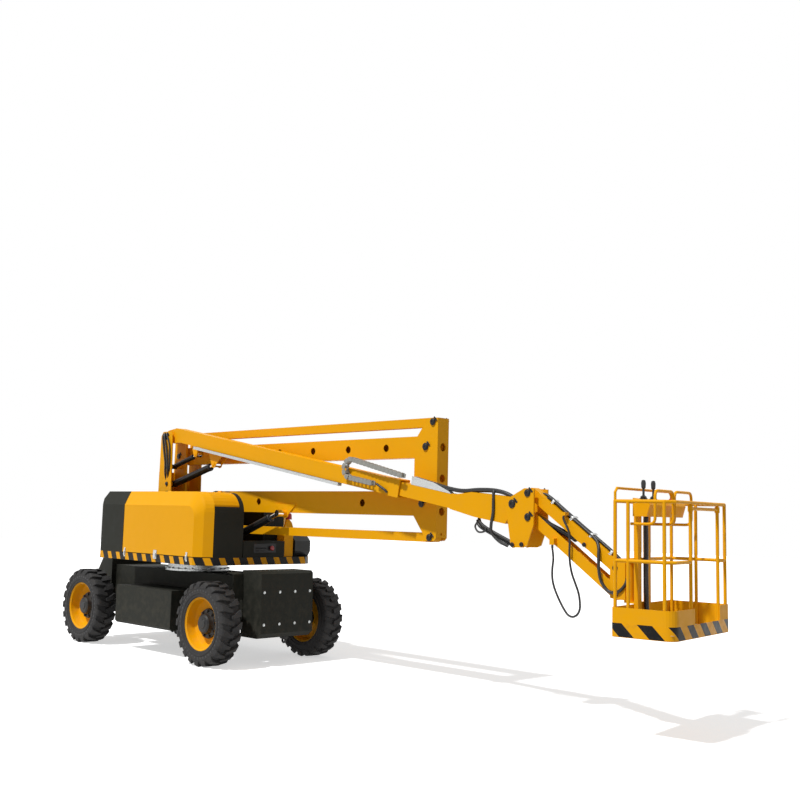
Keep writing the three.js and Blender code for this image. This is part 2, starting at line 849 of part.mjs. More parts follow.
function boomLug(eye, radius, along) {
  const outline = [
    ...arc(eye, radius, 190, 350),
    onBoom(along[1], boomLow + 1),
    onBoom(along[0], boomLow + 1),
  ];
  const plates = [-1, 1].map((way) => plate(
    "y",
    outline,
    span(ramMiddle + way * (ramWidth / 2 + 10), 8),
  ));
  const pinHeads = [-1, 1].map((way) => pin(
    eye,
    smallPin,
    span(ramMiddle + way * (ramWidth / 2 + 14), 12),
  ));
  return join(...plates, ...pinHeads);
}

const boomHead = plate("y", [
  ...arc(boomPivot, 75, 95, 265),
  onBoom(tubeStart + 20, boomLow),
  onBoom(tubeStart + 20, boomHigh),
  onBoom(130, boomHigh),
], boomSpan);
const boomTube = cut(
  boomBar([tubeStart, boomLength], [boomLow, boomHigh], boomSpan),
  boomBar(
    [tubeStart + 60, boomLength + 10],
    [boomLow + boomWall, boomHigh - boomWall],
    inset(boomSpan, boomWall),
  ),
);
const noseCollar = cut(
  boomBar([boomLength - 130, boomLength], [boomLow - 6, boomHigh + 6], inset(boomSpan, -4)),
  boomBar([boomLength - 140, boomLength + 10], [boomLow + 1, boomHigh - 1], inset(boomSpan, 1)),
);
const boomOuter = join(
  bored(boomHead, mainPin, [boomPivot], boomSpan),
  boomTube,
  noseCollar,
  boomLug(levelRamEye, 34, [440, 590]),
  boomLug(boomRamEye, 42, [770, 1080]),
);
place("boom_outer", boomOuter, finish.yellowPaint);

const trayWidth = [boomSpan[0] - 28, boomSpan[0] + 22];
const trayRun = [560, boomLength - 794];
const trayDepth = 30;
const trayTop = boomLow - seatGap;
const hoseTray = cut(
  boomBar(trayRun, [trayTop - trayDepth, trayTop], trayWidth),
  boomBar(
    [trayRun[0] - 10, trayRun[1] + 10],
    [trayTop - trayDepth + 3, trayTop + 10],
    inset(trayWidth, 3),
  ),
);
place("hose_tray", hoseTray, finish.zinc);

// The carrier chain lies in a flat U beside the tube, over and under its bend.
const chainThickness = 46;
const chainWidth = [boomSpan[0] - 62, boomSpan[0] - seatGap];
const chainBend = onBoom(boomLength - 629, 126);
const chainOuter = 111;
function chainOutline() {
  const inner = chainOuter - chainThickness;
  const start = boomSlope + 80;
  const end = boomSlope + 270;
  const upper = onBoom(boomLength + 116, 188);
  const lower = onBoom(boomLength - 244, 126 - chainOuter);
  return [
    upper,
    ...arc(chainBend, chainOuter, start, end, 12),
    lower,
    shift(lower, [chainThickness * -boomSine, chainThickness * boomCosine]),
    ...arc(chainBend, inner, end, start, 12),
    shift(upper, [-chainThickness * 0.3, -chainThickness]),
  ];
}
place("energy_chain", plate("y", chainOutline(), chainWidth), finish.plastic);

const innerSpan = span(boomMiddle, innerWidth);
const innerLow = boomRise - innerHeight / 2;
const innerHigh = boomRise + innerHeight / 2;
const innerStart = 1650;
const noseStart = boomLength + stowedReach;
const knucklePivot = onBoom(noseStart + noseReach, boomRise + noseRise);
const padRun = [innerStart, innerStart + 180];
const slidePad = cut(
  boomBar(
    padRun,
    [innerLow - telescopeGap - 0.5, innerHigh + telescopeGap + 0.5],
    inset(innerSpan, -telescopeGap - 0.5),
  ),
  boomBar([padRun[0] - 5, padRun[1] + 5], [innerLow + 1, innerHigh - 1], inset(innerSpan, 1)),
);
const innerTube = cut(
  boomBar([innerStart, noseStart + 60], [innerLow, innerHigh], innerSpan),
  boomBar([innerStart - 10, noseStart], [innerLow + 6, innerHigh - 6], inset(innerSpan, 6)),
);
const nose = plate("y", [
  onBoom(noseStart - 90, innerLow - 6),
  onBoom(noseStart + 190, innerLow - 22),
  ...arc(shift(knucklePivot, [70, -150]), 130, 190, 100, 6),
  ...arc(knucklePivot, 55, -40, 100, 6),
  onBoom(noseStart + 130, innerHigh + 55),
  onBoom(noseStart - 50, innerHigh + 4),
  onBoom(noseStart - 90, innerHigh + 4),
], innerSpan);
// The jib's lower pin passes here as the knuckle turns about the nose.
const linkSweep = plate("y", [
  ...arc(knucklePivot, 243, -124, -15, 16),
  ...arc(knucklePivot, 139, -15, -124, 16),
], inset(innerSpan, -5));
const boomInner = cut(
  join(slidePad, innerTube, bored(nose, mainPin, [knucklePivot], innerSpan)),
  linkSweep,
);
place("boom_inner", boomInner, finish.yellowPaint);

const guideRun = [boomLength + 130, noseStart - 95];
const guideFloor = innerHigh + seatGap;
const hoseGuide = plate("y", [
  onBoom(guideRun[0], guideFloor),
  onBoom(guideRun[1], guideFloor),
  onBoom(guideRun[1] - 30, guideFloor + 16),
  onBoom(guideRun[1] - 220, guideFloor + 62),
  onBoom(guideRun[0], guideFloor + 76),
], [innerSpan[0] - 2, innerSpan[0] + 46]);
const guideTrough = boomBar(
  [guideRun[0] - 10, guideRun[1] + 10],
  [guideFloor + 34, guideFloor + 100],
  [innerSpan[0] + 2, innerSpan[0] + 42],
);
place("hose_guide", cut(hoseGuide, guideTrough), finish.zinc);

// Jib --------------------------------------------------------------------------------

const jibSpan = span(boomMiddle, jibWidth);
const knuckleOuter = span(boomMiddle, 2 * knuckleHalfWidth);
const knucklePlate = 14;
const jibPivot = shift(knucklePivot, jibPivotOffset);
const jibLinkPivot = shift(jibPivot, jibLinkOffset);
const jibReach = [jibLength * Math.cos(radians(jibSlope)), jibLength * Math.sin(radians(jibSlope))];
const jibTip = shift(jibPivot, jibReach);
const jibLinkTip = shift(jibLinkPivot, jibReach);
const jibPin = 16;
const jibRamEye = shift(jibPivot, [508, -395]);
const jibRamWidth = 54;

const cablePins = [[14, -331], [109, -326]].map((offset) => shift(knucklePivot, offset));
const knuckleOutline = [
  shift(knucklePivot, [-66, -8]),
  shift(cablePins[0], [-26, 8]),
  ...arc(cablePins[0], 26, 200, 300, 4),
  shift(cablePins[1], [5, -25]),
  shift(cablePins[1], [45, -7]),
  shift(jibLinkPivot, [59, -58]),
  shift(jibPivot, [63, 34]),
  shift(jibPivot, [-32, 39]),
  shift(knucklePivot, [14, 72]),
  shift(knucklePivot, [-51, 37]),
];
const knuckle = join(
  plate("y", knuckleOutline, [knuckleOuter[0], knuckleOuter[0] + knucklePlate]),
  plate("y", knuckleOutline, [knuckleOuter[1] - knucklePlate, knuckleOuter[1]]),
  pin(knucklePivot, mainPin, knuckleOuter),
  pin(jibPivot, jibPin, knuckleOuter),
  pin(jibLinkPivot, jibPin, knuckleOuter),
  ...knuckleOuter.flatMap((y) => cablePins.map((point) => pin(point, jibPin, span(y, 20)))),
);
place("jib_knuckle", knuckle, finish.yellowPaint);

// A jib arm is a channel, open on the side that faces the other arm.
function jibArm(start, end, facing, forked) {
  const wide = plate("y", barOutline(start, end, jibHeight / 2), jibSpan);
  const clear = jibHeight;
  const first = between(start, end, forked ? -0.1 : 0.07);
  const last = between(start, end, 0.93);
  const across = [
    -Math.sin(radians(jibSlope)) * facing,
    Math.cos(radians(jibSlope)) * facing,
  ];
  const web = -jibHeight / 2 + jibWall;
  const trough = plate("y", [
    shift(first, [across[0] * web, across[1] * web]),
    shift(last, [across[0] * web, across[1] * web]),
    shift(last, [across[0] * clear, across[1] * clear]),
    shift(first, [across[0] * clear, across[1] * clear]),
  ], inset(jibSpan, jibWall));
  const throat = forked
    ? [plate("y", barOutline(between(start, end, -0.1), start, 50), inset(jibSpan, jibWall))]
    : [];
  return bored(cut(wide, trough, ...throat), jibPin, [start, end], jibSpan);
}

const hoseRadius = 9;
const hosePlane = -181;
const hoseRoute = [
  [228, -406], [228, -431], [238, -513], [229, -593], [230, -665], [248, -735],
  [289, -816], [333, -885], [378, -936], [421, -954], [462, -934], [486, -887],
  [487, -818], [474, -759], [445, -691], [414, -619], [396, -542], [390, -471],
  [392, -400], [388, -329], [374, -276], [334, -206], [334, -176],
].map((offset) => shift(jibPivot, offset));

// A block on an arm's side over one end of the hose loop. The loop moves with the lower
// arm, so the upper arm's clamp stands clear of it.
const clampGap = 2.3;
function hoseClamp([x, z], [low, high]) {
  return block(
    span(x, 44),
    [hosePlane - hoseRadius - 2, jibSpan[0] + jibWall],
    [z + low, z + high],
  );
}

const jibUpper = join(
  jibArm(jibPivot, jibTip, -1, false),
  ...jibSpan.map((y) => pin(jibRamEye, jibPin, span(y, 10))),
  hoseClamp(hoseRoute.at(-1), [clampGap, 28]),
);
place("jib_upper_arm", jibUpper, finish.yellowPaint);
const jibLower = join(
  jibArm(jibLinkPivot, jibLinkTip, 1, true),
  hoseClamp(hoseRoute[0], [seatGap, 50]),
);
place("jib_lower_arm", jibLower, finish.yellowPaint);

// Platform ---------------------------------------------------------------------------

const mountOuter = span(boomMiddle, 110);
const mountPlate = 8;
const swingAxisX = jibTip[0] + swingReach;
const rotatorTop = jibTip[1] + 52;
const rotatorBottom = jibLinkTip[1] - 48;
const mountOutline = [
  [jibTip[0] - 45, jibLinkTip[1] - 30],
  [jibTip[0] + 5, rotatorBottom + 8],
  [swingAxisX, rotatorBottom + 8],
  [swingAxisX, rotatorTop - 8],
  [jibTip[0] - 5, rotatorTop - 8],
  [jibTip[0] - 45, jibTip[1] + 20],
];
const mount = join(
  plate("y", mountOutline, [mountOuter[0], mountOuter[0] + mountPlate]),
  plate("y", mountOutline, [mountOuter[1] - mountPlate, mountOuter[1]]),
  block(
    [swingAxisX - swingRadius + 4, swingAxisX],
    mountOuter,
    [rotatorBottom + 30, rotatorTop - 30],
  ),
  rod(swingRadius, [swingAxisX, boomMiddle, rotatorBottom], [swingAxisX, boomMiddle, rotatorTop]),
  pin(jibTip, jibPin, mountOuter),
  pin(jibLinkTip, jibPin, mountOuter),
);
place("platform_mount", mount, finish.yellowPaint);

// The platform is laid out from the swing axis: x away from the booms, y to the left.
const platform = new THREE.Group();
platform.position.set(swingAxisX, boomMiddle, 0);
platform.rotation.z = radians(platformYaw);
lift.add(platform);

const platformFar = platformNear + platformDepth;
const platformFloor = jibTip[1] - platformDrop;
const platformBottom = platformFloor - floorDepth;
const toeBoardTop = platformFloor + toeBoardHeight;
const midRailHeight = platformFloor + midRailRise;
const topRailHeight = platformFloor + topRailRise;
const guardRailHeight = platformFloor + guardRailRise;
const entry = [-45, 425];

function platformOutline(gap) {
  const near = platformNear + gap;
  const far = platformFar - gap;
  const right = platformRight + gap;
  const left = platformLeft - gap;
  const round = 80 - gap;
  const slight = Math.max(20 - gap, 2);
  return [
    ...arc([near + slight, right + slight], slight, 180, 270, 2),
    ...arc([far - round, right + round], round, 270, 360, 6),
    ...arc([far - slight, left - slight], slight, 0, 90, 2),
    ...arc([near + slight, left - slight], slight, 90, 180, 2),
  ];
}

const toeBoard = 5;
const floorPan = cut(
  plate("z", platformOutline(0), [platformBottom, toeBoardTop]),
  plate("z", platformOutline(toeBoard), [platformFloor, toeBoardTop + 10]),
  plate("z", platformOutline(25), [platformBottom - 10, platformFloor - 6]),
  block([platformFar - 60, platformFar + 10], entry, [platformFloor, toeBoardTop + 10]),
);
place("platform_floor", floorPan, finish.yellowPaint, platform);

const railInset = toeBoard + railRadius + 3;
const nearRail = platformNear + railInset;
const farRail = platformFar - railInset;
const rightRail = platformRight + railInset;
const leftRail = platformLeft - railInset;
const cornerCut = 55;
const entryPosts = [entry[0] - 20, entry[1] + 20];

function post(x, y, top) {
  return rod(railRadius, [x, y, platformFloor + seatGap], [x, y, top], 12);
}

const midRailPlan = [
  [farRail, entryPosts[0]],
  [farRail, rightRail + cornerCut],
  [farRail - cornerCut, rightRail],
  [nearRail, rightRail],
  [nearRail, leftRail],
  [farRail, leftRail],
  [farRail, entryPosts[1]],
];

function level(plan, z) {
  return plan.map(([x, y]) => [x, y, z]);
}

const columnSpan = [-30, 130];
const columnWidth = 60;
const columns = columnSpan.map((y) => block(
  [nearRail - railRadius + 1, nearRail + 22],
  span(y, columnWidth),
  [platformFloor + seatGap, topRailHeight],
));
const bracketPlate = 12;
const bracketOutline = [
  ...arc([0, 0], swingRadius, 90, 270),
  [nearRail + 10, -60],
  [nearRail + 10, 126],
];
const bracketLevels = [
  rotatorBottom - pinGap - bracketPlate,
  rotatorTop + pinGap,
];
const brackets = bracketLevels.map((z) => plate("z", bracketOutline, [z, z + bracketPlate]));
const guardEnds = [rightRail, leftRail];
const rails = join(
  tubeRun(level(midRailPlan, midRailHeight), railRadius),
  tubeRun(level([...midRailPlan, midRailPlan[0]], topRailHeight), railRadius),
  ...[
    [nearRail, rightRail],
    [nearRail + 100, rightRail],
    [farRail - cornerCut, rightRail],
    [farRail, entryPosts[0]],
    [farRail, entryPosts[1]],
    [farRail, leftRail],
    [nearRail + 200, leftRail],
    [nearRail, leftRail],
  ].map(([x, y]) => post(x, y, topRailHeight)),
  tubeRun([
    [nearRail, guardEnds[0], topRailHeight],
    [nearRail, guardEnds[0], guardRailHeight - 30],
    [nearRail, guardEnds[0] + 30, guardRailHeight],
    [nearRail, guardEnds[1] - 30, guardRailHeight],
    [nearRail, guardEnds[1], guardRailHeight - 30],
    [nearRail, guardEnds[1], topRailHeight],
  ], railRadius - 3),
  ...columns,
  ...brackets,
);
place("platform_rails", rails, finish.yellowPaint, platform);

const consoleStart = nearRail + 22 + seatGap;
const consoleOutline = [
  [consoleStart, topRailHeight - 105],
  [consoleStart + 110, topRailHeight - 105],
  [consoleStart + 135, topRailHeight - 20],
  [consoleStart + 120, topRailHeight + 5],
  [consoleStart, topRailHeight + 30],
];
place("control_console", plate("y", consoleOutline, [-150, 500]), finish.yellowPaint, platform);

// The entry bar hangs on two sleeves that slide on the posts beside the entry.
const sleeveBore = railRadius + pinGap;
const gateHeight = topRailHeight - 42;
const sleeveHeight = span(gateHeight, 44);
const sleeves = entryPosts.map((y) => cut(
  rod(sleeveBore + 5, [farRail, y, sleeveHeight[0]], [farRail, y, sleeveHeight[1]], 16),
  rod(sleeveBore, [farRail, y, sleeveHeight[0] - 5], [farRail, y, sleeveHeight[1] + 5], 12),
));
const gate = join(
  ...sleeves,
  rod(
    12,
    [farRail, entryPosts[0] + sleeveBore + 2, gateHeight],
    [farRail, entryPosts[1] - sleeveBore - 2, gateHeight],
    12,
  ),
);
place("gate_bar", gate, finish.yellowPaint, platform);

// Hydraulic cylinders ------------------------------------------------------------------

// A barrel with an eye about its base pin, and a rod whose eye carries its own pin and
// stands between the lugs with room at its sides.
function ram(name, base, eye, size) {
  const { middle, width, barrelRadius, rodRadius, basePin, eyePin, barrelShare } = size;
  const reach = distance(base, eye);
  const at = (far) => {
    const [x, z] = between(base, eye, far / reach);
    return [x, middle, z];
  };
  const barrelEnd = reach * barrelShare;
  const eyeRadius = Math.min(barrelRadius, basePin + 16);
  const rodEyeRadius = eyePin + 14;
  const eyeWidth = span(middle, width);
  const barrelHoles = [
    pin(base, basePin + pinGap, inset(eyeWidth, -5)),
    rod(rodRadius + pinGap, at(basePin + 40), at(barrelEnd + 10), 20),
  ];
  const barrel = cut(
    join(
      rod(barrelRadius, at(basePin + 2), at(barrelEnd), 20),
      pin(base, eyeRadius, eyeWidth),
    ),
    ...barrelHoles,
  );
  const piston = join(
    rod(rodRadius, at(size.rodStart), at(reach - eyePin), 20),
    pin(eye, rodEyeRadius, eyeWidth),
  );
  place(`${name}_barrel`, barrel, finish.blackPaint);
  place(`${name}_rod`, piston, finish.chrome);
}

ram("riser_ram", riserRamBase, riserRamEye, {
  middle: riserRamMiddle,
  width: riserRamWidth,
  barrelRadius: riserRamRadius,
  rodRadius: 25,
  basePin: smallPin,
  eyePin: smallPin,
  barrelShare: 0.88,
  rodStart: 480,
});
ram("boom_ram", boomRamBase, boomRamEye, {
  middle: ramMiddle,
  width: ramWidth,
  barrelRadius: 40,
  rodRadius: 24,
  basePin: smallPin,
  eyePin: smallPin,
  barrelShare: 0.86,
  rodStart: 160,
});
ram("level_ram", levelRamBase, levelRamEye, {
  middle: ramMiddle,
  width: ramWidth,
  barrelRadius: 27,
  rodRadius: 14,
  basePin: smallPin,
  eyePin: smallPin,
  barrelShare: 0.8,
  rodStart: 80,
});
ram("jib_ram", jibLinkPivot, jibRamEye, {
  middle: boomMiddle,
  width: jibRamWidth,
  barrelRadius: 24,
  rodRadius: 13,
  basePin: jibPin,
  eyePin: 8,
  barrelShare: 0.8,
  rodStart: 120,
});

// Hose loop under the jib ---------------------------------------------------------------

const hosePath = new THREE.CatmullRomCurve3(
  hoseRoute.map(([x, z]) => new THREE.Vector3(x, hosePlane, z)),
);
const hoseSection = new THREE.Shape(
  arc([0, 0], hoseRadius, 0, 315, 7).map(([u, v]) => new THREE.Vector2(u, v)),
);
const hose = new THREE.ExtrudeGeometry(hoseSection, { steps: 60, extrudePath: hosePath });
place("jib_hose_loop", solid(hose), finish.rubber);

// Origin ------------------------------------------------------------------------------

lift.updateMatrixWorld(true);
const outline = new THREE.Box3().setFromObject(lift, true);
lift.position.x = -(outline.min.x + outline.max.x) / 2;

export default lift;
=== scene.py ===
import json
import math

import bmesh
import bpy
from mathutils import Matrix, Vector


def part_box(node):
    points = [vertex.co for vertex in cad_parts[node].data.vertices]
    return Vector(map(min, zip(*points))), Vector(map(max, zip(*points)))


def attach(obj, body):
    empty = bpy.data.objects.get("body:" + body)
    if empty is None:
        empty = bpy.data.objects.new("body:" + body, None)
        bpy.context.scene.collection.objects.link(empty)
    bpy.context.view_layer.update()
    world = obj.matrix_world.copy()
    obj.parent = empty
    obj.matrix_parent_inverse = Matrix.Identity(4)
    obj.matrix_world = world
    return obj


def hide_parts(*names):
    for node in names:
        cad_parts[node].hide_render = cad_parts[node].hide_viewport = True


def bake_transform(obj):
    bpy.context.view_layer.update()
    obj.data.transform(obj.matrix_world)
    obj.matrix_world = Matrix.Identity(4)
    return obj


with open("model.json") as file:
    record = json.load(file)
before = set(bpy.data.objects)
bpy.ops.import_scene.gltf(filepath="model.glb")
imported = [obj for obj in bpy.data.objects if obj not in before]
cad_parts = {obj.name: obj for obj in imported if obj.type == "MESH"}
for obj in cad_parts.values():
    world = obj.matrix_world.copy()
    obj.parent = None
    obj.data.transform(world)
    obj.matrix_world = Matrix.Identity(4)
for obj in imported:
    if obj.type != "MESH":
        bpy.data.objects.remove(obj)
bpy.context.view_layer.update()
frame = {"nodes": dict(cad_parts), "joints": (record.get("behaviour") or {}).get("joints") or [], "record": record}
pin_at = {joint["name"]: Vector(joint.get("pos_m") or (0, 0, 0)) for joint in frame["joints"]}

# Camera -------------------------------------------------------------------------------
# It stands at the machine's front right corner, at about eye height, and looks up a
# little, with the horizon turned by a degree.
camera_right = Vector((0.71618, 0.69750, 0.02410))
camera_up = Vector((0.06173, -0.09771, 0.99330))
camera_offset = Vector((9.87, -6.85, 0))
camera_height = 1.54

camera = bpy.data.objects.new("camera", bpy.data.cameras.new("camera"))
bpy.context.scene.collection.objects.link(camera)
camera.data.lens = 45.95
camera.data.sensor_width = 36
turn = Matrix((camera_right, camera_up, camera_right.cross(camera_up))).transposed()
stand = pin_at["slew"] + camera_offset
stand.z = camera_height
camera.matrix_world = Matrix.Translation(stand) @ turn.to_4x4()
bpy.context.scene.camera = camera

# Hose loop below the jib --------------------------------------------------------------
# A free rubber hose of 18 mm that leaves a connector under the jib's lower arm, hangs
# in one loop and comes up to a clamp on the upper arm.
LOOP_DIAMETER = 0.018
loop_plane = -0.181
loop_route = [
    (0.228, -0.406), (0.228, -0.431), (0.238, -0.513), (0.229, -0.593), (0.230, -0.665),
    (0.248, -0.735), (0.289, -0.816), (0.333, -0.885), (0.376, -0.934), (0.421, -0.949),
    (0.463, -0.930), (0.488, -0.885), (0.487, -0.818), (0.474, -0.759), (0.445, -0.691),
    (0.414, -0.619), (0.396, -0.542), (0.390, -0.471), (0.392, -0.400), (0.388, -0.329),
    (0.374, -0.276), (0.334, -0.206), (0.334, -0.176),
]


def smooth(points, steps=6):
    """Points of a Catmull-Rom curve through the given ones."""
    points = [Vector(point) for point in points]
    ends = [2 * points[0] - points[1], *points, 2 * points[-1] - points[-2]]
    path = []
    for before, start, stop, after in zip(ends, ends[1:], ends[2:], ends[3:]):
        for step in range(steps):
            t = step / steps
            path.append(0.5 * (
                2 * start
                + (stop - before) * t
                + (2 * before - 5 * start + 4 * stop - after) * t ** 2
                + (3 * start - before - 3 * stop + after) * t ** 3
            ))
    return [*path, points[-1]]


def tube(name, path, radius):
    """A round tube along a path, as a curve with a bevel."""
    curve = bpy.data.curves.new(name, "CURVE")
    curve.dimensions = "3D"
    curve.bevel_depth = radius
    curve.bevel_resolution = 3
    curve.use_fill_caps = True
    spline = curve.splines.new("POLY")
    spline.points.add(len(path) - 1)
    for point, place in zip(spline.points, path):
        point.co = (*place, 1)
    piece = bpy.data.objects.new(name, curve)
    bpy.context.scene.collection.objects.link(piece)
    return piece


jib_pin = pin_at["jib_lift"]
loop_path = smooth([(jib_pin.x + x, loop_plane, jib_pin.z + z) for x, z in loop_route])
hose_curve = tube("hose_curve", loop_path, LOOP_DIAMETER / 2)
hose_solid = hose_curve.evaluated_get(bpy.context.evaluated_depsgraph_get())
hose_loop = bpy.data.objects.new("jib_hose", bpy.data.meshes.new_from_object(hose_solid))
bpy.context.scene.collection.objects.link(hose_loop)
bpy.data.objects.remove(hose_curve)
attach(hose_loop, "jib_lower")
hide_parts("jib_hose_loop")

# Floor and light ----------------------------------------------------------------------
# A pale floor that runs to the horizon, a high sun-like lamp from the right and a soft
# sky, so that the colours keep their own value.


def linear(code):
    """The linear colour of an sRGB hex value such as "f2a90c"."""
    channels = [int(code[start:start + 2], 16) / 255 for start in (0, 2, 4)]
    return [*(c / 12.92 if c <= 0.04045 else ((c + 0.055) / 1.055) ** 2.4 for c in channels), 1]


def add_node(tree, kind, inputs=None, **settings):
    """A node with its settings, and each input set to a value or linked to a socket."""
    made = tree.nodes.new(kind)
    for name, value in settings.items():
        setattr(made, name, value)
    for name, value in (inputs or {}).items():
        if isinstance(value, bpy.types.NodeSocket):
            tree.links.new(value, made.inputs[name])
        else:
            made.inputs[name].default_value = value
    return made


def new_material(name):
    material = bpy.data.materials.new(name)
    material.use_nodes = True
    material.node_tree.nodes.clear()
    return material, material.node_tree


FLOOR_HALF = 40
floor_mesh = bpy.data.meshes.new("floor")
floor_mesh.from_pydata(
    [(x, y, 0) for x, y in ((-1, -1), (1, -1), (1, 1), (-1, 1))], [], [(0, 1, 2, 3)]
)
floor_mesh.transform(Matrix.Scale(FLOOR_HALF, 4))
floor = bpy.data.objects.new("floor", floor_mesh)
bpy.context.scene.collection.objects.link(floor)
material, tree = new_material("white studio floor")
ray = add_node(tree, "ShaderNodeLightPath")
matt = add_node(tree, "ShaderNodeBsdfDiffuse", {"Color": linear("f4f4f4")})
glow = add_node(tree, "ShaderNodeEmission", {"Color": linear("ffffff"), "Strength": 0.55})
mirrored = add_node(
    tree,
    "ShaderNodeMath",
    {0: ray.outputs["Is Camera Ray"], 1: ray.outputs["Is Glossy Ray"]},
    operation="MAXIMUM",
)
bounce = add_node(tree, "ShaderNodeBsdfDiffuse", {"Color": linear("b4b4b4")})
seen = add_node(tree, "ShaderNodeMixShader", {0: mirrored.outputs[0], 1: bounce.outputs[0]})
both = add_node(tree, "ShaderNodeAddShader", {0: matt.outputs[0], 1: glow.outputs[0]})
tree.links.new(both.outputs[0], seen.inputs[2])
add_node(tree, "ShaderNodeOutputMaterial", {"Surface": seen.outputs[0]})
floor_mesh.materials.append(material)

world = bpy.data.worlds.new("studio")
world.use_nodes = True
world.node_tree.nodes.clear()
ray = add_node(world.node_tree, "ShaderNodeLightPath")
white = add_node(
    world.node_tree,
    "ShaderNodeMath",
    {0: ray.outputs["Is Camera Ray"], 1: ray.outputs["Is Transmission Ray"]},
    operation="MAXIMUM",
)
white = add_node(
    world.node_tree,
    "ShaderNodeMath",
    {0: white.outputs[0], 1: ray.outputs["Is Glossy Ray"]},
    operation="MAXIMUM",
)
strength = add_node(
    world.node_tree,
    "ShaderNodeMapRange",
    {"Value": white.outputs[0], "To Min": 0.3, "To Max": 1.0},
)
sky = add_node(
    world.node_tree,
    "ShaderNodeBackground",
    {"Color": linear("ffffff"), "Strength": strength.outputs[0]},
)
add_node(world.node_tree, "ShaderNodeOutputWorld", {"Surface": sky.outputs[0]})
bpy.context.scene.world = world

sun = bpy.data.objects.new("sun", bpy.data.lights.new("sun", "SUN"))
sun.data.energy = 3.0
sun.data.angle = math.radians(3)
sun.rotation_euler = Vector((0.05, 0.62, -0.95)).to_track_quat("-Z", "Y").to_euler()
bpy.context.scene.collection.objects.link(sun)
bpy.context.scene.view_settings.view_transform = "Standard"

# Yellow booms, doors and platform -----------------------------------------------------
# Welded steel sheet and tube under a two-coat machinery enamel: a glossy, slightly
# uneven film with a fine orange peel, and dust on what lies low.


def enamel(name, colour, second_colour, roughness, peel, shine):
    """Machinery enamel. peel is the height of its orange peel in metres."""
    material, tree = new_material(name)
    where = add_node(tree, "ShaderNodeTexCoord").outputs["Object"]
    cloud = add_node(tree, "ShaderNodeTexNoise", {"Vector": where, "Scale": 2.2, "Detail": 6.0})
    smear = add_node(
        tree, "ShaderNodeTexNoise", {"Vector": where, "Scale": 14.0, "Detail": 8.0}
    )
    # The peel is drawn four times as coarse as real, so that it shows.
    grain = add_node(
        tree, "ShaderNodeTexNoise", {"Vector": where, "Scale": 160.0, "Detail": 2.0}
    )
    shade = add_node(
        tree,
        "ShaderNodeMapRange",
        {
            "Value": cloud.outputs[0],
            "From Min": 0.3, "From Max": 0.7, "To Min": 0.0, "To Max": 0.16,
        },
    )
    height = add_node(tree, "ShaderNodeSeparateXYZ", {"Vector": where})
    low = add_node(
        tree,
        "ShaderNodeMapRange",
        {
            "Value": height.outputs["Z"],
            "From Min": 0.0, "From Max": 1.1, "To Min": 0.3, "To Max": 0.04,
        },
    )
    patch = add_node(
        tree,
        "ShaderNodeMapRange",
        {
            "Value": smear.outputs[0],
            "From Min": 0.42, "From Max": 0.75, "To Min": 0.0, "To Max": 0.6,
        },
    )
    dust = add_node(
        tree, "ShaderNodeMath", {0: low.outputs[0], 1: patch.outputs[0]}, operation="MULTIPLY"
    )
    toned = add_node(
        tree,
        "ShaderNodeMix",
        {0: shade.outputs[0], 6: linear(colour), 7: linear(second_colour)},
        data_type="RGBA",
    )
    dusted = add_node(
        tree,
        "ShaderNodeMix",
        {0: dust.outputs[0], 6: toned.outputs[2], 7: linear("8a8274")},
        data_type="RGBA",
    )
    gloss = add_node(
        tree,
        "ShaderNodeMapRange",
        {
            "Value": smear.outputs[0], "From Min": 0.3, "From Max": 0.8,
            "To Min": roughness, "To Max": roughness + 0.18,
        },
    )
    bump = add_node(
        tree, "ShaderNodeBump", {"Strength": 0.35, "Distance": peel, "Height": grain.outputs[0]}
    )
    shader = add_node(
        tree,
        "ShaderNodeBsdfPrincipled",
        {
            "Base Color": dusted.outputs[2], "Roughness": gloss.outputs[0], "IOR": 1.5,
            "Specular IOR Level": shine, "Normal": bump.outputs[0],
        },
    )
    add_node(tree, "ShaderNodeOutputMaterial", {"Surface": shader.outputs[0]})
    return material


def nodes_in(slot):
    """The names of the CAD nodes in a material slot."""
    return [
        part["node"] for part in frame["record"]["subparts"] if part["material_slot"] == slot
    ]


def finish_nodes(material, names):
    for name in names:
        data = frame["nodes"][name].data
        data.materials.clear()
        data.materials.append(material)


yellow_enamel = enamel("yellow machinery enamel", "f2ab06", "e69e02", 0.36, 0.0004, 0.12)
finish_nodes(yellow_enamel, nodes_in("yellow_paint"))

# Grey chassis and bodywork ------------------------------------------------------------
# Heavy plate under a satin textured paint, duller than the yellow, with more dust.
grey_enamel = enamel("dark grey textured paint", "272823", "302f29", 0.55, 0.0008, 0.12)
finish_nodes(grey_enamel, nodes_in("grey_paint"))

# Black running gear -------------------------------------------------------------------
# Axle beams, knuckles, barrels and tanks under a thin black chassis paint.
black_enamel = enamel("black chassis paint", "161617", "201f1e", 0.38, 0.0005, 0.3)
finish_nodes(black_enamel, nodes_in("black_paint"))

# Cylinder rods ------------------------------------------------------------------------
# Ground and hard-chromed bar: a mirror with fine grinding rings.
material, tree = new_material("hard chrome")
where = add_node(tree, "ShaderNodeTexCoord").outputs["Object"]
rings = add_node(tree, "ShaderNodeTexNoise", {"Vector": where, "Scale": 90.0, "Detail": 3.0})
gloss = add_node(
    tree, "ShaderNodeMapRange", {"Value": rings.outputs[0], "To Min": 0.06, "To Max": 0.22}
)
shader = add_node(
    tree,
    "ShaderNodeBsdfPrincipled",
    {"Base Color": linear("d9dbdd"), "Metallic": 1.0, "Roughness": gloss.outputs[0]},
)
add_node(tree, "ShaderNodeOutputMaterial", {"Surface": shader.outputs[0]})
hard_chrome = material
finish_nodes(hard_chrome, [f"{ram}_ram_rod" for ram in ("riser", "boom", "level", "jib")])

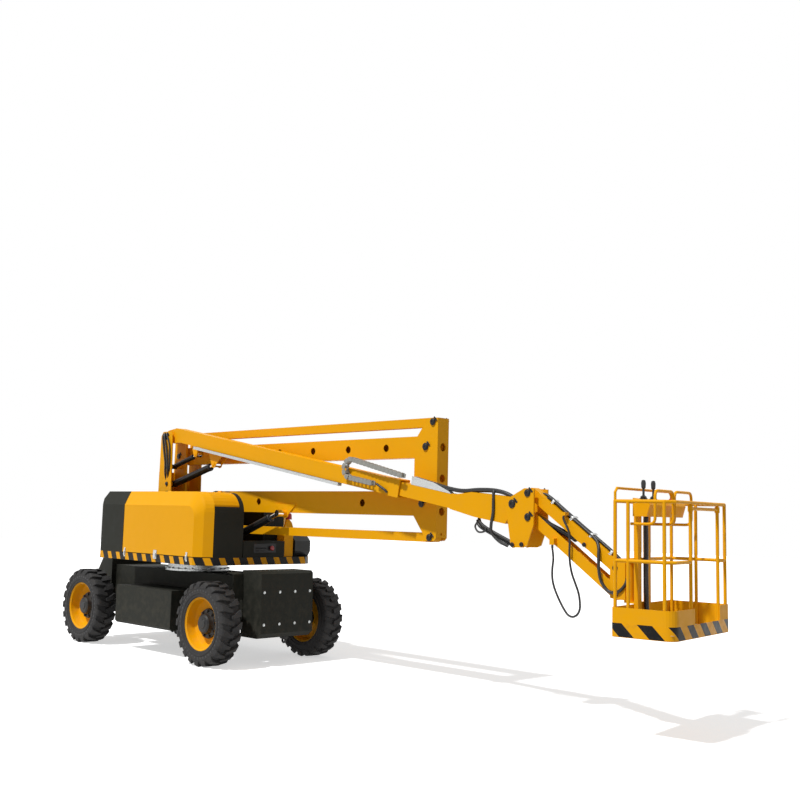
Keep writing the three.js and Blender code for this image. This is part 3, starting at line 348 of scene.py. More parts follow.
# Hose tray, hose guide and slewing ring -----------------------------------------------
# Sheet and castings left in bright zinc plate, with the soft spangle of the bath.
material, tree = new_material("zinc plate")
where = add_node(tree, "ShaderNodeTexCoord").outputs["Object"]
spangle = add_node(tree, "ShaderNodeTexVoronoi", {"Vector": where, "Scale": 70.0})
tone = add_node(
    tree,
    "ShaderNodeMix",
    {0: spangle.outputs["Distance"], 6: linear("d2d4d3"), 7: linear("b4b7b7")},
    data_type="RGBA",
)
gloss = add_node(
    tree,
    "ShaderNodeMapRange",
    {"Value": spangle.outputs["Distance"], "To Min": 0.28, "To Max": 0.45},
)
shader = add_node(
    tree,
    "ShaderNodeBsdfPrincipled",
    {"Base Color": tone.outputs[2], "Metallic": 0.9, "Roughness": gloss.outputs[0]},
)
add_node(tree, "ShaderNodeOutputMaterial", {"Surface": shader.outputs[0]})
zinc_plate = material
finish_nodes(zinc_plate, ["slew_ring", "hose_tray", "hose_guide"])

# Hose rubber --------------------------------------------------------------------------
# Smooth black nitrile cover with the faint wrap marks of its curing tape.
material, tree = new_material("nitrile hose cover")
where = add_node(tree, "ShaderNodeTexCoord").outputs["Object"]
wrap = add_node(tree, "ShaderNodeTexNoise", {"Vector": where, "Scale": 220.0, "Detail": 2.0})
bump = add_node(
    tree, "ShaderNodeBump", {"Strength": 0.4, "Distance": 0.0006, "Height": wrap.outputs[0]}
)
gloss = add_node(
    tree, "ShaderNodeMapRange", {"Value": wrap.outputs[0], "To Min": 0.34, "To Max": 0.55}
)
shader = add_node(
    tree,
    "ShaderNodeBsdfPrincipled",
    {"Base Color": linear("151516"), "Roughness": gloss.outputs[0], "Normal": bump.outputs[0]},
)
add_node(tree, "ShaderNodeOutputMaterial", {"Surface": shader.outputs[0]})
hose_rubber = material
hose_loop.data.materials.append(hose_rubber)

# Tyres --------------------------------------------------------------------------------
# Solid rubber tyres on a carcass with deep slanting lugs in two staggered rows, and a
# ring of small round holes in each sidewall that softens the ride.
TYRE_RADIUS = 0.42
RIM_RADIUS = 0.2653
LUG_DEPTH = 0.027
LUG_COUNT = 21
HOLE_COUNT = 44

material, tree = new_material("tyre rubber")
where = add_node(tree, "ShaderNodeTexCoord").outputs["Object"]
scuff = add_node(tree, "ShaderNodeTexNoise", {"Vector": where, "Scale": 18.0, "Detail": 8.0})
grit = add_node(tree, "ShaderNodeTexNoise", {"Vector": where, "Scale": 260.0, "Detail": 2.0})
worn = add_node(
    tree,
    "ShaderNodeMapRange",
    {"Value": scuff.outputs[0], "From Min": 0.4, "From Max": 0.75, "To Min": 0.0, "To Max": 0.8},
)
tone = add_node(
    tree,
    "ShaderNodeMix",
    {0: worn.outputs[0], 6: linear("181718"), 7: linear("2b2825")},
    data_type="RGBA",
)
bump = add_node(
    tree, "ShaderNodeBump", {"Strength": 0.5, "Distance": 0.001, "Height": grit.outputs[0]}
)
shader = add_node(
    tree,
    "ShaderNodeBsdfPrincipled",
    {"Base Color": tone.outputs[2], "Roughness": 0.78, "Normal": bump.outputs[0]},
)
add_node(tree, "ShaderNodeOutputMaterial", {"Surface": shader.outputs[0]})
tyre_rubber = material


def lathe(name, profile, segments, axis="Y"):
    """A closed ring from a profile of (radius, along) points turned about an axis."""
    shape = bmesh.new()
    rings = []
    for step in range(segments):
        angle = 2 * math.pi * step / segments
        sin, cos = math.sin(angle), math.cos(angle)
        turned = {
            "Y": lambda r, a: (r * sin, a, r * cos),
            "X": lambda r, a: (a, r * cos, r * sin),
            "Z": lambda r, a: (r * cos, r * sin, a),
        }[axis]
        rings.append([shape.verts.new(turned(r, a)) for r, a in profile])
    for ring, following in zip(rings, rings[1:] + rings[:1]):
        for i in range(len(profile)):
            j = (i + 1) % len(profile)
            shape.faces.new((ring[i], ring[j], following[j], following[i]))
    bmesh.ops.remove_doubles(shape, verts=shape.verts, dist=1e-6)
    bmesh.ops.dissolve_degenerate(shape, edges=shape.edges, dist=1e-7)
    bmesh.ops.recalc_face_normals(shape, faces=shape.faces)
    return to_object(name, shape)


def to_object(name, shape, smooth_below=30):
    """An object from a bmesh, smooth where its faces meet at less than an angle."""
    mesh = bpy.data.meshes.new(name)
    shape.to_mesh(mesh)
    shape.free()
    piece = bpy.data.objects.new(name, mesh)
    bpy.context.scene.collection.objects.link(piece)
    mesh.shade_smooth()
    mesh.set_sharp_from_angle(angle=math.radians(smooth_below))
    return piece


def joined(name, pieces):
    """One object from several, with the pieces removed."""
    shape = bmesh.new()
    materials = []
    for piece in pieces:
        mesh = piece.data if piece.type == "MESH" else bpy.data.meshes.new_from_object(
            piece.evaluated_get(bpy.context.evaluated_depsgraph_get())
        )
        first = len(shape.faces)
        shape.from_mesh(mesh)
        shape.faces.ensure_lookup_table()
        slots = [slot for slot in mesh.materials]
        for slot in slots:
            if slot not in materials:
                materials.append(slot)
        for face in shape.faces[first:]:
            if slots:
                slot = slots[min(face.material_index, len(slots) - 1)]
                face.material_index = materials.index(slot)
        bpy.data.objects.remove(piece)
    whole = to_object(name, shape)
    for slot in materials:
        whole.data.materials.append(slot)
    return whole


def loft(sections):
    """A closed bmesh through sections of equal corner counts, capped at both ends."""
    shape = bmesh.new()
    rows = [[shape.verts.new(corner) for corner in section] for section in sections]
    count = len(rows[0])
    for row, following in zip(rows, rows[1:]):
        for i in range(count):
            j = (i + 1) % count
            shape.faces.new((row[i], row[j], following[j], following[i]))
    shape.faces.new(rows[0][::-1])
    shape.faces.new(rows[-1])
    bmesh.ops.recalc_face_normals(shape, faces=shape.faces)
    return shape


def repeat_tree():
    """Copies of a shape, each one step and one turn on from the last."""
    tree = bpy.data.node_groups.new("copies by step and turn", "GeometryNodeTree")
    for name, kind in (
        ("Shape", "NodeSocketObject"),
        ("Count", "NodeSocketInt"),
        ("Start", "NodeSocketVector"),
        ("Step", "NodeSocketVector"),
        ("Turn", "NodeSocketVector"),
        ("Finish", "NodeSocketMaterial"),
    ):
        tree.interface.new_socket(name, in_out="INPUT", socket_type=kind)
    tree.interface.new_socket("Geometry", in_out="OUTPUT", socket_type="NodeSocketGeometry")
    given = add_node(tree, "NodeGroupInput")
    index = add_node(tree, "GeometryNodeInputIndex")
    ways = {}
    for name in ("Step", "Turn"):
        ways[name] = add_node(
            tree,
            "ShaderNodeVectorMath",
            {0: given.outputs[name], "Scale": index.outputs[0]},
            operation="SCALE",
        )
    spot = add_node(
        tree, "ShaderNodeVectorMath", {0: given.outputs["Start"], 1: ways["Step"].outputs[0]}
    )
    points = add_node(
        tree,
        "GeometryNodePoints",
        {"Count": given.outputs["Count"], "Position": spot.outputs[0]},
    )
    shape = add_node(tree, "GeometryNodeObjectInfo", {"Object": given.outputs["Shape"]})
    copies = add_node(
        tree,
        "GeometryNodeInstanceOnPoints",
        {
            "Points": points.outputs[0],
            "Instance": shape.outputs["Geometry"],
            "Rotation": ways["Turn"].outputs[0],
        },
    )
    finish_tree(tree, copies, given)
    return tree


def finish_tree(tree, copies, given):
    real = add_node(tree, "GeometryNodeRealizeInstances", {"Geometry": copies.outputs[0]})
    coated = add_node(
        tree,
        "GeometryNodeSetMaterial",
        {"Geometry": real.outputs[0], "Material": given.outputs["Finish"]},
    )
    add_node(tree, "NodeGroupOutput", {"Geometry": coated.outputs[0]})


def grown(name, shape, count, start, finish, step=(0, 0, 0), turn=(0, 0, 0)):
    """The plain mesh object that the tree makes from its named inputs."""
    values = {
        "Shape": shape, "Count": count, "Start": tuple(start),
        "Step": tuple(step), "Turn": turn, "Finish": finish,
    }
    base = bpy.data.objects.new(name, bpy.data.meshes.new(name))
    bpy.context.scene.collection.objects.link(base)
    modifier = base.modifiers.new("grow", "NODES")
    modifier.node_group = repeat
    for socket in repeat.interface.items_tree:
        if socket.item_type == "SOCKET" and socket.name in values:
            modifier[socket.identifier] = values[socket.name]
    bpy.context.view_layer.update()
    result = bpy.data.meshes.new_from_object(
        base.evaluated_get(bpy.context.evaluated_depsgraph_get())
    )
    bpy.data.objects.remove(base)
    piece = bpy.data.objects.new(name, result)
    bpy.context.scene.collection.objects.link(piece)
    bpy.data.objects.remove(shape)
    return piece


repeat = repeat_tree()


def lug(name, side):
    """One tread lug at the top of the tyre, from the middle over the shoulder."""
    stations = [
        # across, outer radius, forward, half width
        (-0.012, TYRE_RADIUS, 0.0, 0.016),
        (0.030, TYRE_RADIUS, -0.008, 0.021),
        (0.070, TYRE_RADIUS - 0.001, -0.026, 0.027),
        (0.104, TYRE_RADIUS - 0.005, -0.038, 0.032),
        (0.121, TYRE_RADIUS - 0.024, -0.043, 0.033),
        (0.1235, TYRE_RADIUS - 0.058, -0.045, 0.028),
    ]
    sections = []
    for across, outer, forward, half in stations:
        inner = outer - LUG_DEPTH - 0.006
        depth = 0.02 if outer < TYRE_RADIUS - 0.01 else 0.0
        sections.append([
            (forward - half * 1.12, side * (across - depth), inner + depth),
            (forward + half * 1.12, side * (across - depth), inner + depth),
            (forward + half, side * across, outer), (forward - half, side * across, outer),
        ])
    shape = loft(sections)
    bmesh.ops.bevel(shape, geom=list(shape.edges), offset=0.002, segments=1, affect="EDGES")
    return to_object(name, shape)


def carcass_profile():
    tread = TYRE_RADIUS - LUG_DEPTH
    side = [
        (RIM_RADIUS, 0.106), (RIM_RADIUS + 0.008, 0.114), (RIM_RADIUS + 0.03, 0.1165),
        (RIM_RADIUS + 0.034, 0.1215), (RIM_RADIUS + 0.046, 0.1215),
        (RIM_RADIUS + 0.050, 0.1165), (RIM_RADIUS + 0.082, 0.1165),
        (RIM_RADIUS + 0.086, 0.120), (tread - 0.03, 0.118), (tread - 0.008, 0.108),
        (tread, 0.092),
    ]
    return [*side, *((r, -a) for r, a in reversed(side))]


hole_ring = RIM_RADIUS + 0.067
for end in ("front", "rear"):
    for side, way in (("right", -1), ("left", 1)):
        centre = pin_at[f"roll_{end}_{side}"]
        name = f"tyre_{end}_{side}"
        parts = [lathe(f"{name}_carcass", carcass_profile(), 84)]
        parts[0].data.transform(Matrix.Translation(centre))
        parts[0].data.materials.append(tyre_rubber)
        pitch = 2 * math.pi / LUG_COUNT
        for row, flank in enumerate((-1, 1)):
            shape = lug(f"{name}_lug_{row}", flank)
            shape.data.transform(Matrix.Rotation(row * pitch / 2, 4, "Y"))
            parts.append(grown(
                f"{name}_lugs_{row}", shape, LUG_COUNT, centre, tyre_rubber, turn=(0, pitch, 0)
            ))
        tyre = joined(f"{name}_tread", parts)
        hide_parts(name)
        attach(tyre, f"wheel_{end}_{side}")
        # The blind holes are drawn as small black plugs just proud of the sidewall groove; their black is painted
        # shade that stands in for the shaded inside of each hole.
        hole_shade_plug = lathe(
            f"{name}_plug", [(0.0, 0.0), (0.0105, 0.0), (0.0105, 0.0012), (0.0, 0.0012)], 12
        )
        hole_shade_y = way * 0.1158 if way > 0 else -0.117
        hole_shade_plug.data.transform(Matrix.Translation((0, hole_shade_y, hole_ring)))
        pitch = 2 * math.pi / HOLE_COUNT
        holes = grown(
            f"{name}_holes", hole_shade_plug, HOLE_COUNT, centre, hose_rubber, turn=(0, pitch, 0)
        )
        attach(holes, f"wheel_{end}_{side}")

# Wheel rims ---------------------------------------------------------------------------
# A rolled steel rim and a pressed disc in yellow, bolted to a black cast hub with a
# planetary drive cover.
WHEEL_BOLTS = 9


def bolt(name, across, height, direction):
    """A hexagon bolt head on its washer, standing on the origin."""
    radius = across / math.sqrt(3)
    shape = bmesh.new()
    for reach, low, high, sides, taper in (
        (radius * 1.45, 0, height * 0.2, 16, 0.96), (radius, height * 0.2, height, 6, 0.86)
    ):
        rows = []
        for z, scale in ((low, 1), (high - (high - low) * 0.2, 1), (high, taper)):
            rows.append([
                shape.verts.new((
                    reach * scale * math.cos(2 * math.pi * i / sides),
                    reach * scale * math.sin(2 * math.pi * i / sides),
                    z,
                ))
                for i in range(sides)
            ])
        for row, following in zip(rows, rows[1:]):
            for i in range(sides):
                j = (i + 1) % sides
                shape.faces.new((row[i], row[j], following[j], following[i]))
        shape.faces.new(rows[0][::-1])
        shape.faces.new(rows[-1])
    turn = Vector((0, 0, 1)).rotation_difference(Vector(direction)).to_matrix()
    bmesh.ops.rotate(shape, verts=shape.verts, matrix=turn)
    return to_object(name, shape)


def rim_profile(way):
    outboard = [
        (0.2648, -0.104), (0.2648, 0.104), (0.2595, 0.1045), (0.2565, 0.099), (0.247, 0.094),
        (0.243, 0.02), (0.234, 0.002), (0.21, -0.01), (0.14, -0.014), (0.1, -0.014),
        (0.1, -0.026), (0.14, -0.026), (0.21, -0.022), (0.23, -0.014), (0.243, -0.03),
        (0.247, -0.094), (0.2565, -0.104),
    ]
    return [(r, way * a) for r, a in outboard]


def hub_profile(way):
    outboard = [
        (0.0, -0.058), (0.092, -0.058), (0.092, -0.012), (0.145, -0.0135), (0.15, 0.0),
        (0.145, 0.012), (0.11, 0.016), (0.1, 0.03), (0.095, 0.062), (0.08, 0.074),
        (0.05, 0.078), (0.046, 0.084), (0.0, 0.084),
    ]
    return [(r, way * a) for r, a in outboard]


for end in ("front", "rear"):
    for side, way in (("right", -1), ("left", 1)):
        centre = pin_at[f"roll_{end}_{side}"]
        body = f"wheel_{end}_{side}"
        rim = lathe(f"rim_disc_{end}_{side}", rim_profile(way), 72)
        hub = lathe(f"hub_{end}_{side}", hub_profile(way), 48)
        for piece, finish, slot in (
            (rim, yellow_enamel, "yellow_paint"), (hub, black_enamel, "black_paint")
        ):
            piece.data.transform(Matrix.Translation(centre))
            piece.data.materials.append(finish)
            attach(piece, body)
        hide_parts(f"rim_{end}_{side}")
        nut = bolt(f"nut_{end}_{side}", 0.024, 0.02, (0, way, 0))
        nut.data.transform(Matrix.Translation((0, way * 0.011, 0.126)))
        nuts = grown(
            f"wheel_nuts_{end}_{side}", nut, WHEEL_BOLTS, centre, black_enamel,
            turn=(0, 2 * math.pi / WHEEL_BOLTS, 0),
        )
        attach(nuts, body)

# Hazard tape round the deck and the platform ------------------------------------------
# Self-adhesive vinyl tape in slanting black and yellow bands, stuck to the edge of the
# turntable's deck and to the foot of the platform's toe boards.
TAPE = 0.0008
DECK_TAPE_PITCH = 0.178
TOE_TAPE_PITCH = 0.23


def tape_material(name, pitch, lean, share):
    """Slanting bands across a tape whose UV holds metres along it and up it."""
    material, tree = new_material(name)
    place = add_node(tree, "ShaderNodeUVMap", uv_map="tape")
    split = add_node(tree, "ShaderNodeSeparateXYZ", {"Vector": place.outputs[0]})
    leant = add_node(
        tree,
        "ShaderNodeMath",
        {0: split.outputs["Y"], 1: lean, 2: split.outputs["X"]},
        operation="MULTIPLY_ADD",
    )
    turns = add_node(tree, "ShaderNodeMath", {0: leant.outputs[0], 1: pitch}, operation="DIVIDE")
    saw = add_node(tree, "ShaderNodeMath", {0: turns.outputs[0]}, operation="FRACT")
    band = add_node(
        tree, "ShaderNodeMath", {0: saw.outputs[0], 1: share}, operation="LESS_THAN"
    )
    where = add_node(tree, "ShaderNodeTexCoord").outputs["Object"]
    scuff = add_node(
        tree, "ShaderNodeTexNoise", {"Vector": where, "Scale": 25.0, "Detail": 8.0}
    )
    worn = add_node(
        tree,
        "ShaderNodeMapRange",
        {
            "Value": scuff.outputs[0],
            "From Min": 0.5, "From Max": 0.8, "To Min": 0.0, "To Max": 0.2,
        },
    )
    colour = add_node(
        tree,
        "ShaderNodeMix",
        {0: band.outputs[0], 6: linear("0f0f10"), 7: linear("f0a806")},
        data_type="RGBA",
    )
    dirty = add_node(
        tree,
        "ShaderNodeMix",
        {0: worn.outputs[0], 6: colour.outputs[2], 7: linear("5b5347")},
        data_type="RGBA",
    )
    gloss = add_node(
        tree, "ShaderNodeMapRange", {"Value": scuff.outputs[0], "To Min": 0.25, "To Max": 0.6}
    )
    shader = add_node(
        tree,
        "ShaderNodeBsdfPrincipled",
        {
            "Base Color": dirty.outputs[2], "Roughness": gloss.outputs[0],
            "Specular IOR Level": 0.15,
        },
    )
    add_node(tree, "ShaderNodeOutputMaterial", {"Surface": shader.outputs[0]})
    return material


def tape_ring(name, outline, low, high, finish):
    """A thin band stood round an anticlockwise outline, with its length and height as UV."""
    shape = bmesh.new()
    uv = shape.loops.layers.uv.new("tape")
    count = len(outline)
    outer = []
    for i in range(count):
        before, here, after = (Vector(outline[(i + step) % count]) for step in (-1, 0, 1))
        first = (here - before).normalized()
        second = (after - here).normalized()
        out = Vector((first.y + second.y, -first.x - second.x))
        out /= max(out.length ** 2 / 2, 0.2)
        outer.append(here + out * TAPE)
    along = 0.0
    for i in range(count):
        j = (i + 1) % count
        step = (Vector(outline[j]) - Vector(outline[i])).length
        walls = (
            (outer, outer, low, high), (outline, outer, high, high), (outer, outline, low, low),
        )
        for lower, upper, z_low, z_high in walls:
            corners = [
                (*lower[i], z_low), (*lower[j], z_low), (*upper[j], z_high), (*upper[i], z_high)
            ]
            if lower is outline:
                corners = [
                    (*outer[i], z_high), (*outer[j], z_high),
                    (*outline[j], z_high), (*outline[i], z_high),
                ]
            face = shape.faces.new([shape.verts.new(corner) for corner in corners])
            corners = ((0, z_low), (1, z_low), (1, z_high), (0, z_high))
            for loop, (u, v) in zip(face.loops, corners):
                loop[uv].uv = (along + u * step, v)
        back = [
            (*outline[j], low), (*outline[i], low), (*outline[i], high), (*outline[j], high)
        ]
        shape.faces.new([shape.verts.new(corner) for corner in back])
        along += step
    bmesh.ops.remove_doubles(shape, verts=shape.verts, dist=1e-6)
    bmesh.ops.recalc_face_normals(shape, faces=shape.faces)
    piece = to_object(name, shape)
    piece.data.materials.append(finish)
    return piece


middle = pin_at["slew"].x
deck_half = 0.77
deck_front = [(1.150, 0.617), (1.090, 0.710), (1.000, 0.770), (-0.830, 0.770), (-0.880, 0.720)]
deck_outline = [(middle + x, -y) for x, y in reversed(deck_front)]
deck_outline += [(middle + x, y) for x, y in deck_front]
deck_low, deck_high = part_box("turntable_deck")
deck_tape = tape_ring(
    "deck_tape",
    deck_outline,
    deck_low.z + 0.002,
    deck_high.z - 0.002,
    tape_material("vinyl hazard tape, narrow", DECK_TAPE_PITCH, 0.45, 0.42),
)
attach(deck_tape, "turntable")

swing = pin_at["platform_swing"]
PLATFORM_YAW = math.radians(6)


def on_platform(outward, left, height):
    """A place on the platform, from its swing axis: away from the booms, left and up."""
    sin, cos = math.sin(PLATFORM_YAW), math.cos(PLATFORM_YAW)
    return Vector((
        swing.x + outward * cos - left * sin, swing.y + outward * sin + left * cos, height
    ))


def corner_arc(centre, radius, start, stop, steps):
    return [
        (
            centre[0] + radius * math.cos(math.radians(start + (stop - start) * i / steps)),
            centre[1] + radius * math.sin(math.radians(start + (stop - start) * i / steps)),
        )
        for i in range(steps + 1)
    ]


PLATFORM_NEAR, PLATFORM_FAR, PLATFORM_RIGHT, PLATFORM_LEFT = 0.058, 0.528, -0.410, 0.610
floor_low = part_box("platform_floor")[0]
toe_outline = [
    tuple(on_platform(u, v, 0)[:2])
    for u, v in (
        *corner_arc((PLATFORM_NEAR + 0.02, PLATFORM_RIGHT + 0.02), 0.02, 180, 270, 2),
        *corner_arc((PLATFORM_FAR - 0.08, PLATFORM_RIGHT + 0.08), 0.08, 270, 360, 6),
        *corner_arc((PLATFORM_FAR - 0.02, PLATFORM_LEFT - 0.02), 0.02, 0, 90, 2),
        *corner_arc((PLATFORM_NEAR + 0.02, PLATFORM_LEFT - 0.02), 0.02, 90, 180, 2),
    )
]
toe_tape = tape_ring(
    "toe_board_tape",
    toe_outline,
    floor_low.z + 0.004,
    floor_low.z + 0.098,
    tape_material("vinyl hazard tape, wide", TOE_TAPE_PITCH, 1.0, 0.5),
)
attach(toe_tape, "platform")

# Carrier chain ------------------------------------------------------------------------
# A flat moulded nylon chain that carries the hoses to the sliding boom. It lies on the
# boom's side, over and under one bend, each link pinned to the next.
boom_pin = pin_at["boom_lift"]
BOOM_SLOPE = math.radians(-9.8)
CHAIN_PITCH = 0.052
CHAIN_SPAN = (-0.237, -0.1755)
CHAIN_HEIGHT = 0.044



def moulded(name, scale, detail, colour, second_colour, roughness):
    """A moulded plastic, clouded between two colours by the flow into its mould."""
    material, tree = new_material(name)
    where = add_node(tree, "ShaderNodeTexCoord").outputs["Object"]
    flow = add_node(
        tree, "ShaderNodeTexNoise", {"Vector": where, "Scale": scale, "Detail": detail}
    )
    tone = add_node(
        tree,
        "ShaderNodeMix",
        {0: flow.outputs[0], 6: linear(colour), 7: linear(second_colour)},
        data_type="RGBA",
    )
    shader = add_node(
        tree,
        "ShaderNodeBsdfPrincipled",
        {"Base Color": tone.outputs[2], "Roughness": roughness},
    )
    add_node(tree, "ShaderNodeOutputMaterial", {"Surface": shader.outputs[0]})
    return material


nylon = moulded("moulded glass-filled nylon", 30.0, 5.0, "83837e", "a3a29b", 0.55)


def on_boom(along, rise, across):
    """A place on the stowed boom: along it from its pin, above the pin's line, and Y."""
    sin, cos = math.sin(BOOM_SLOPE), math.cos(BOOM_SLOPE)
    return Vector((
        boom_pin.x + along * cos - rise * sin, across, boom_pin.z + along * sin + rise * cos
    ))


def brick(low, high, bevel=0.002):
    """A block with bevelled edges, as a bmesh."""
    shape = bmesh.new()
    bmesh.ops.create_cube(shape, size=1)
    low, high = Vector(low), Vector(high)
    for vert in shape.verts:
        vert.co = [(a + b) / 2 + c * (b - a) for a, b, c in zip(low, high, vert.co)]
    bmesh.ops.bevel(shape, geom=list(shape.edges), offset=bevel, segments=1, affect="EDGES")
    return shape


def merged(name, shapes):
    """One object from several bmeshes."""
    whole = bmesh.new()
    for shape in shapes:
        mesh = bpy.data.meshes.new(name)
        shape.to_mesh(mesh)
        shape.free()
        whole.from_mesh(mesh)
    return to_object(name, whole)


def chain_link(name):
    """A link along X, centred on the origin: two cheeks and two cross bars."""
    half = CHAIN_HEIGHT / 2
    width = (CHAIN_SPAN[1] - CHAIN_SPAN[0]) / 2
    return merged(name, [
        brick((-0.024, -width, -half), (0.014, -width + 0.008, half)),
        brick((-0.004, -width + 0.002, -half + 0.004), (0.03, -width + 0.012, half - 0.004)),
        brick((-0.024, width - 0.008, -half), (0.014, width, half)),
        brick((-0.004, width - 0.012, -half + 0.004), (0.03, width - 0.002, half - 0.004)),
        brick((-0.012, -width + 0.004, half - 0.006), (0.006, width - 0.004, half)),
        brick((-0.012, -width + 0.004, -half), (0.006, width - 0.004, -half + 0.006)),
    ])


chain_middle = sum(CHAIN_SPAN) / 2
bend = on_boom(3.215, 0.126, chain_middle)
bend_radius = 0.088
runs = []
for label, start, stop in (
    ("upper", on_boom(3.232, 0.2127, chain_middle), on_boom(3.945, 0.166, chain_middle)),
    ("lower", on_boom(3.222, 0.038, chain_middle), on_boom(3.580, 0.038, chain_middle)),
):
    run = stop - start
    count = int(run.length / CHAIN_PITCH)
    link = chain_link(f"link_{label}")
    link.data.transform(Matrix.Rotation(-math.atan2(run.z, run.x), 4, "Y"))
    runs.append(grown(
        f"chain_{label}", link, count, start + run.normalized() * CHAIN_PITCH / 2, nylon,
        step=run.normalized() * CHAIN_PITCH,
    ))
bend_count = 5
bend_start = math.radians(80) + BOOM_SLOPE
bend_turn = math.radians(190) / bend_count
link = chain_link("link_bend")
link.data.transform(Matrix.Translation((0, 0, bend_radius)))
link.data.transform(Matrix.Rotation(math.radians(90) - bend_start - bend_turn / 2, 4, "Y"))
runs.append(grown("chain_bend", link, bend_count, bend, nylon, turn=(0, -bend_turn, 0)))
chain = joined("carrier_chain", runs)
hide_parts("energy_chain")
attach(chain, "boom")

# Hydraulic hoses ----------------------------------------------------------------------
# Braided rubber hoses and corrugated conduit in bundles along the arms. Those that pass the knuckle or the
# platform mount are baked where they lie and ride on no body; the others ride on one arm.
CORRUGATION = 0.011


def sweep(name, path, radius, ribbed=False, sides=10):
    """A closed tube along a path; ribbed makes it a corrugated conduit."""
    if ribbed:
        length = sum((b - a).length for a, b in zip(path, path[1:]))
        rings = max(int(length / CORRUGATION) * 2, 4)
        even = []
        step = length / rings
        walked, target = 0.0, 0.0
        for a, b in zip(path, path[1:]):
            span = (b - a).length
            while target <= walked + span and span > 0:
                even.append(a.lerp(b, (target - walked) / span))
                target += step
            walked += span
        path = even
    sections = []
    side_way = None
    for i, place in enumerate(path):
        ahead = path[min(i + 1, len(path) - 1)] - path[max(i - 1, 0)]
        ahead.normalize()
        if side_way is None:
            side_way = ahead.orthogonal()
        side_way = (side_way - ahead * side_way.dot(ahead)).normalized()
        up = ahead.cross(side_way)
        reach = radius * (0.88 if ribbed and i % 2 else 1)
        sections.append([
            place + reach * (math.cos(a) * side_way + math.sin(a) * up)
            for a in (2 * math.pi * k / sides for k in range(sides))
        ])
    return to_object(name, loft(sections), 45)


def fit(piece, body, finish):
    """Gives a piece its finish, its slot and, when a body is given, its body."""
    piece.data.materials.clear()
    piece.data.materials.append(finish)
    if body:
        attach(piece, body)


def from_slew(x, y, z):
    return Vector((middle + x, y, z))


hose_runs = (
    # name, body, body past a joint, radius, ribbed, place, points
    ("mast_hose_1", "mast", None, 0.011, False, from_slew, [
        (-0.52, -0.20, 2.44), (-0.50, -0.226, 2.40), (-0.47, -0.226, 2.25),
        (-0.43, -0.226, 2.10), (-0.42, -0.226, 1.98), (-0.43, -0.20, 1.90),
    ]),
    ("mast_hose_2", "mast", None, 0.011, False, from_slew, [
        (-0.49, -0.20, 2.45), (-0.46, -0.232, 2.41), (-0.41, -0.232, 2.27),
        (-0.38, -0.232, 2.12), (-0.37, -0.226, 2.00), (-0.39, -0.20, 1.92),
    ]),
    ("mast_hose_3", "mast", None, 0.009, False, from_slew, [
        (-0.45, -0.20, 2.45), (-0.42, -0.226, 2.42), (-0.36, -0.226, 2.30),
        (-0.345, -0.226, 2.16), (-0.35, -0.22, 2.04), (-0.36, -0.20, 1.98),
    ]),
    ("boom_hose_1", "boom", None, 0.012, True, on_boom, [
        (3.58, 0.04, -0.205), (3.64, 0.02, -0.200), (3.69, 0.0, -0.192), (3.71, -0.02, -0.18)
    ]),
    ("nose_hose_1", "boom_extension", "jib_knuckle", 0.019, True, on_boom, [
        (3.98, 0.155, -0.130), (4.20, 0.150, -0.132), (4.42, 0.142, -0.135),
        (4.58, 0.150, -0.138), (4.75, 0.188, -0.140), (4.92, 0.212, -0.140),
        (5.05, 0.208, -0.138), (5.13, 0.180, -0.120),
    ]),
    ("nose_hose_2", "boom_extension", "jib_knuckle", 0.015, False, on_boom, [
        (4.00, 0.150, -0.098), (4.20, 0.146, -0.098), (4.42, 0.138, -0.098),
        (4.58, 0.146, -0.100), (4.75, 0.182, -0.102), (4.92, 0.206, -0.102),
        (5.04, 0.202, -0.100), (5.12, 0.175, -0.090),
    ]),
    ("nose_hose_3", "boom_extension", "jib_knuckle", 0.014, True, on_boom, [
        (4.915, 0.215, -0.120), (4.925, 0.205, -0.155), (4.945, 0.130, -0.168),
        (4.962, 0.030, -0.170), (4.960, -0.070, -0.170), (4.975, -0.135, -0.165),
        (5.050, -0.190, -0.150), (5.140, -0.218, -0.125),
    ]),
    ("nose_hose_4", "boom_extension", "jib_knuckle", 0.013, False, on_boom, [
        (4.78, -0.050, -0.120), (4.83, -0.085, -0.145), (4.92, -0.115, -0.150),
        (5.03, -0.142, -0.145), (5.14, -0.172, -0.120),
    ]),
    ("nose_hose_5", "boom_extension", "jib_knuckle", 0.013, False, on_boom, [
        (4.76, -0.070, -0.110), (4.80, -0.112, -0.125), (4.90, -0.142, -0.125),
        (5.02, -0.168, -0.120), (5.14, -0.198, -0.105),
    ]),
    ("nose_hose_6", "boom_extension", None, 0.008, False, on_boom, [
        (4.80, -0.080, -0.160), (4.795, -0.120, -0.172), (4.84, -0.155, -0.176),
        (4.90, -0.140, -0.172), (4.91, -0.105, -0.160),
    ]),
)
for name, body, past, radius, ribbed, place, points in hose_runs:
    route = [place(*point) for point in points]
    hose = sweep(name, smooth(route), radius, ribbed)
    fit(hose, None if past else body, hose_rubber)
    if past:
        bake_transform(hose)

jib_axis = Vector((math.cos(math.radians(-35.2)), 0, math.sin(math.radians(-35.2))))
jib_normal = Vector((-jib_axis.z, 0, jib_axis.x))


def on_jib(along, rise, across):
    """A place on the stowed jib's upper arm, from its pin."""
    place = jib_pin + jib_axis * along + jib_normal * rise
    place.y = across
    return place


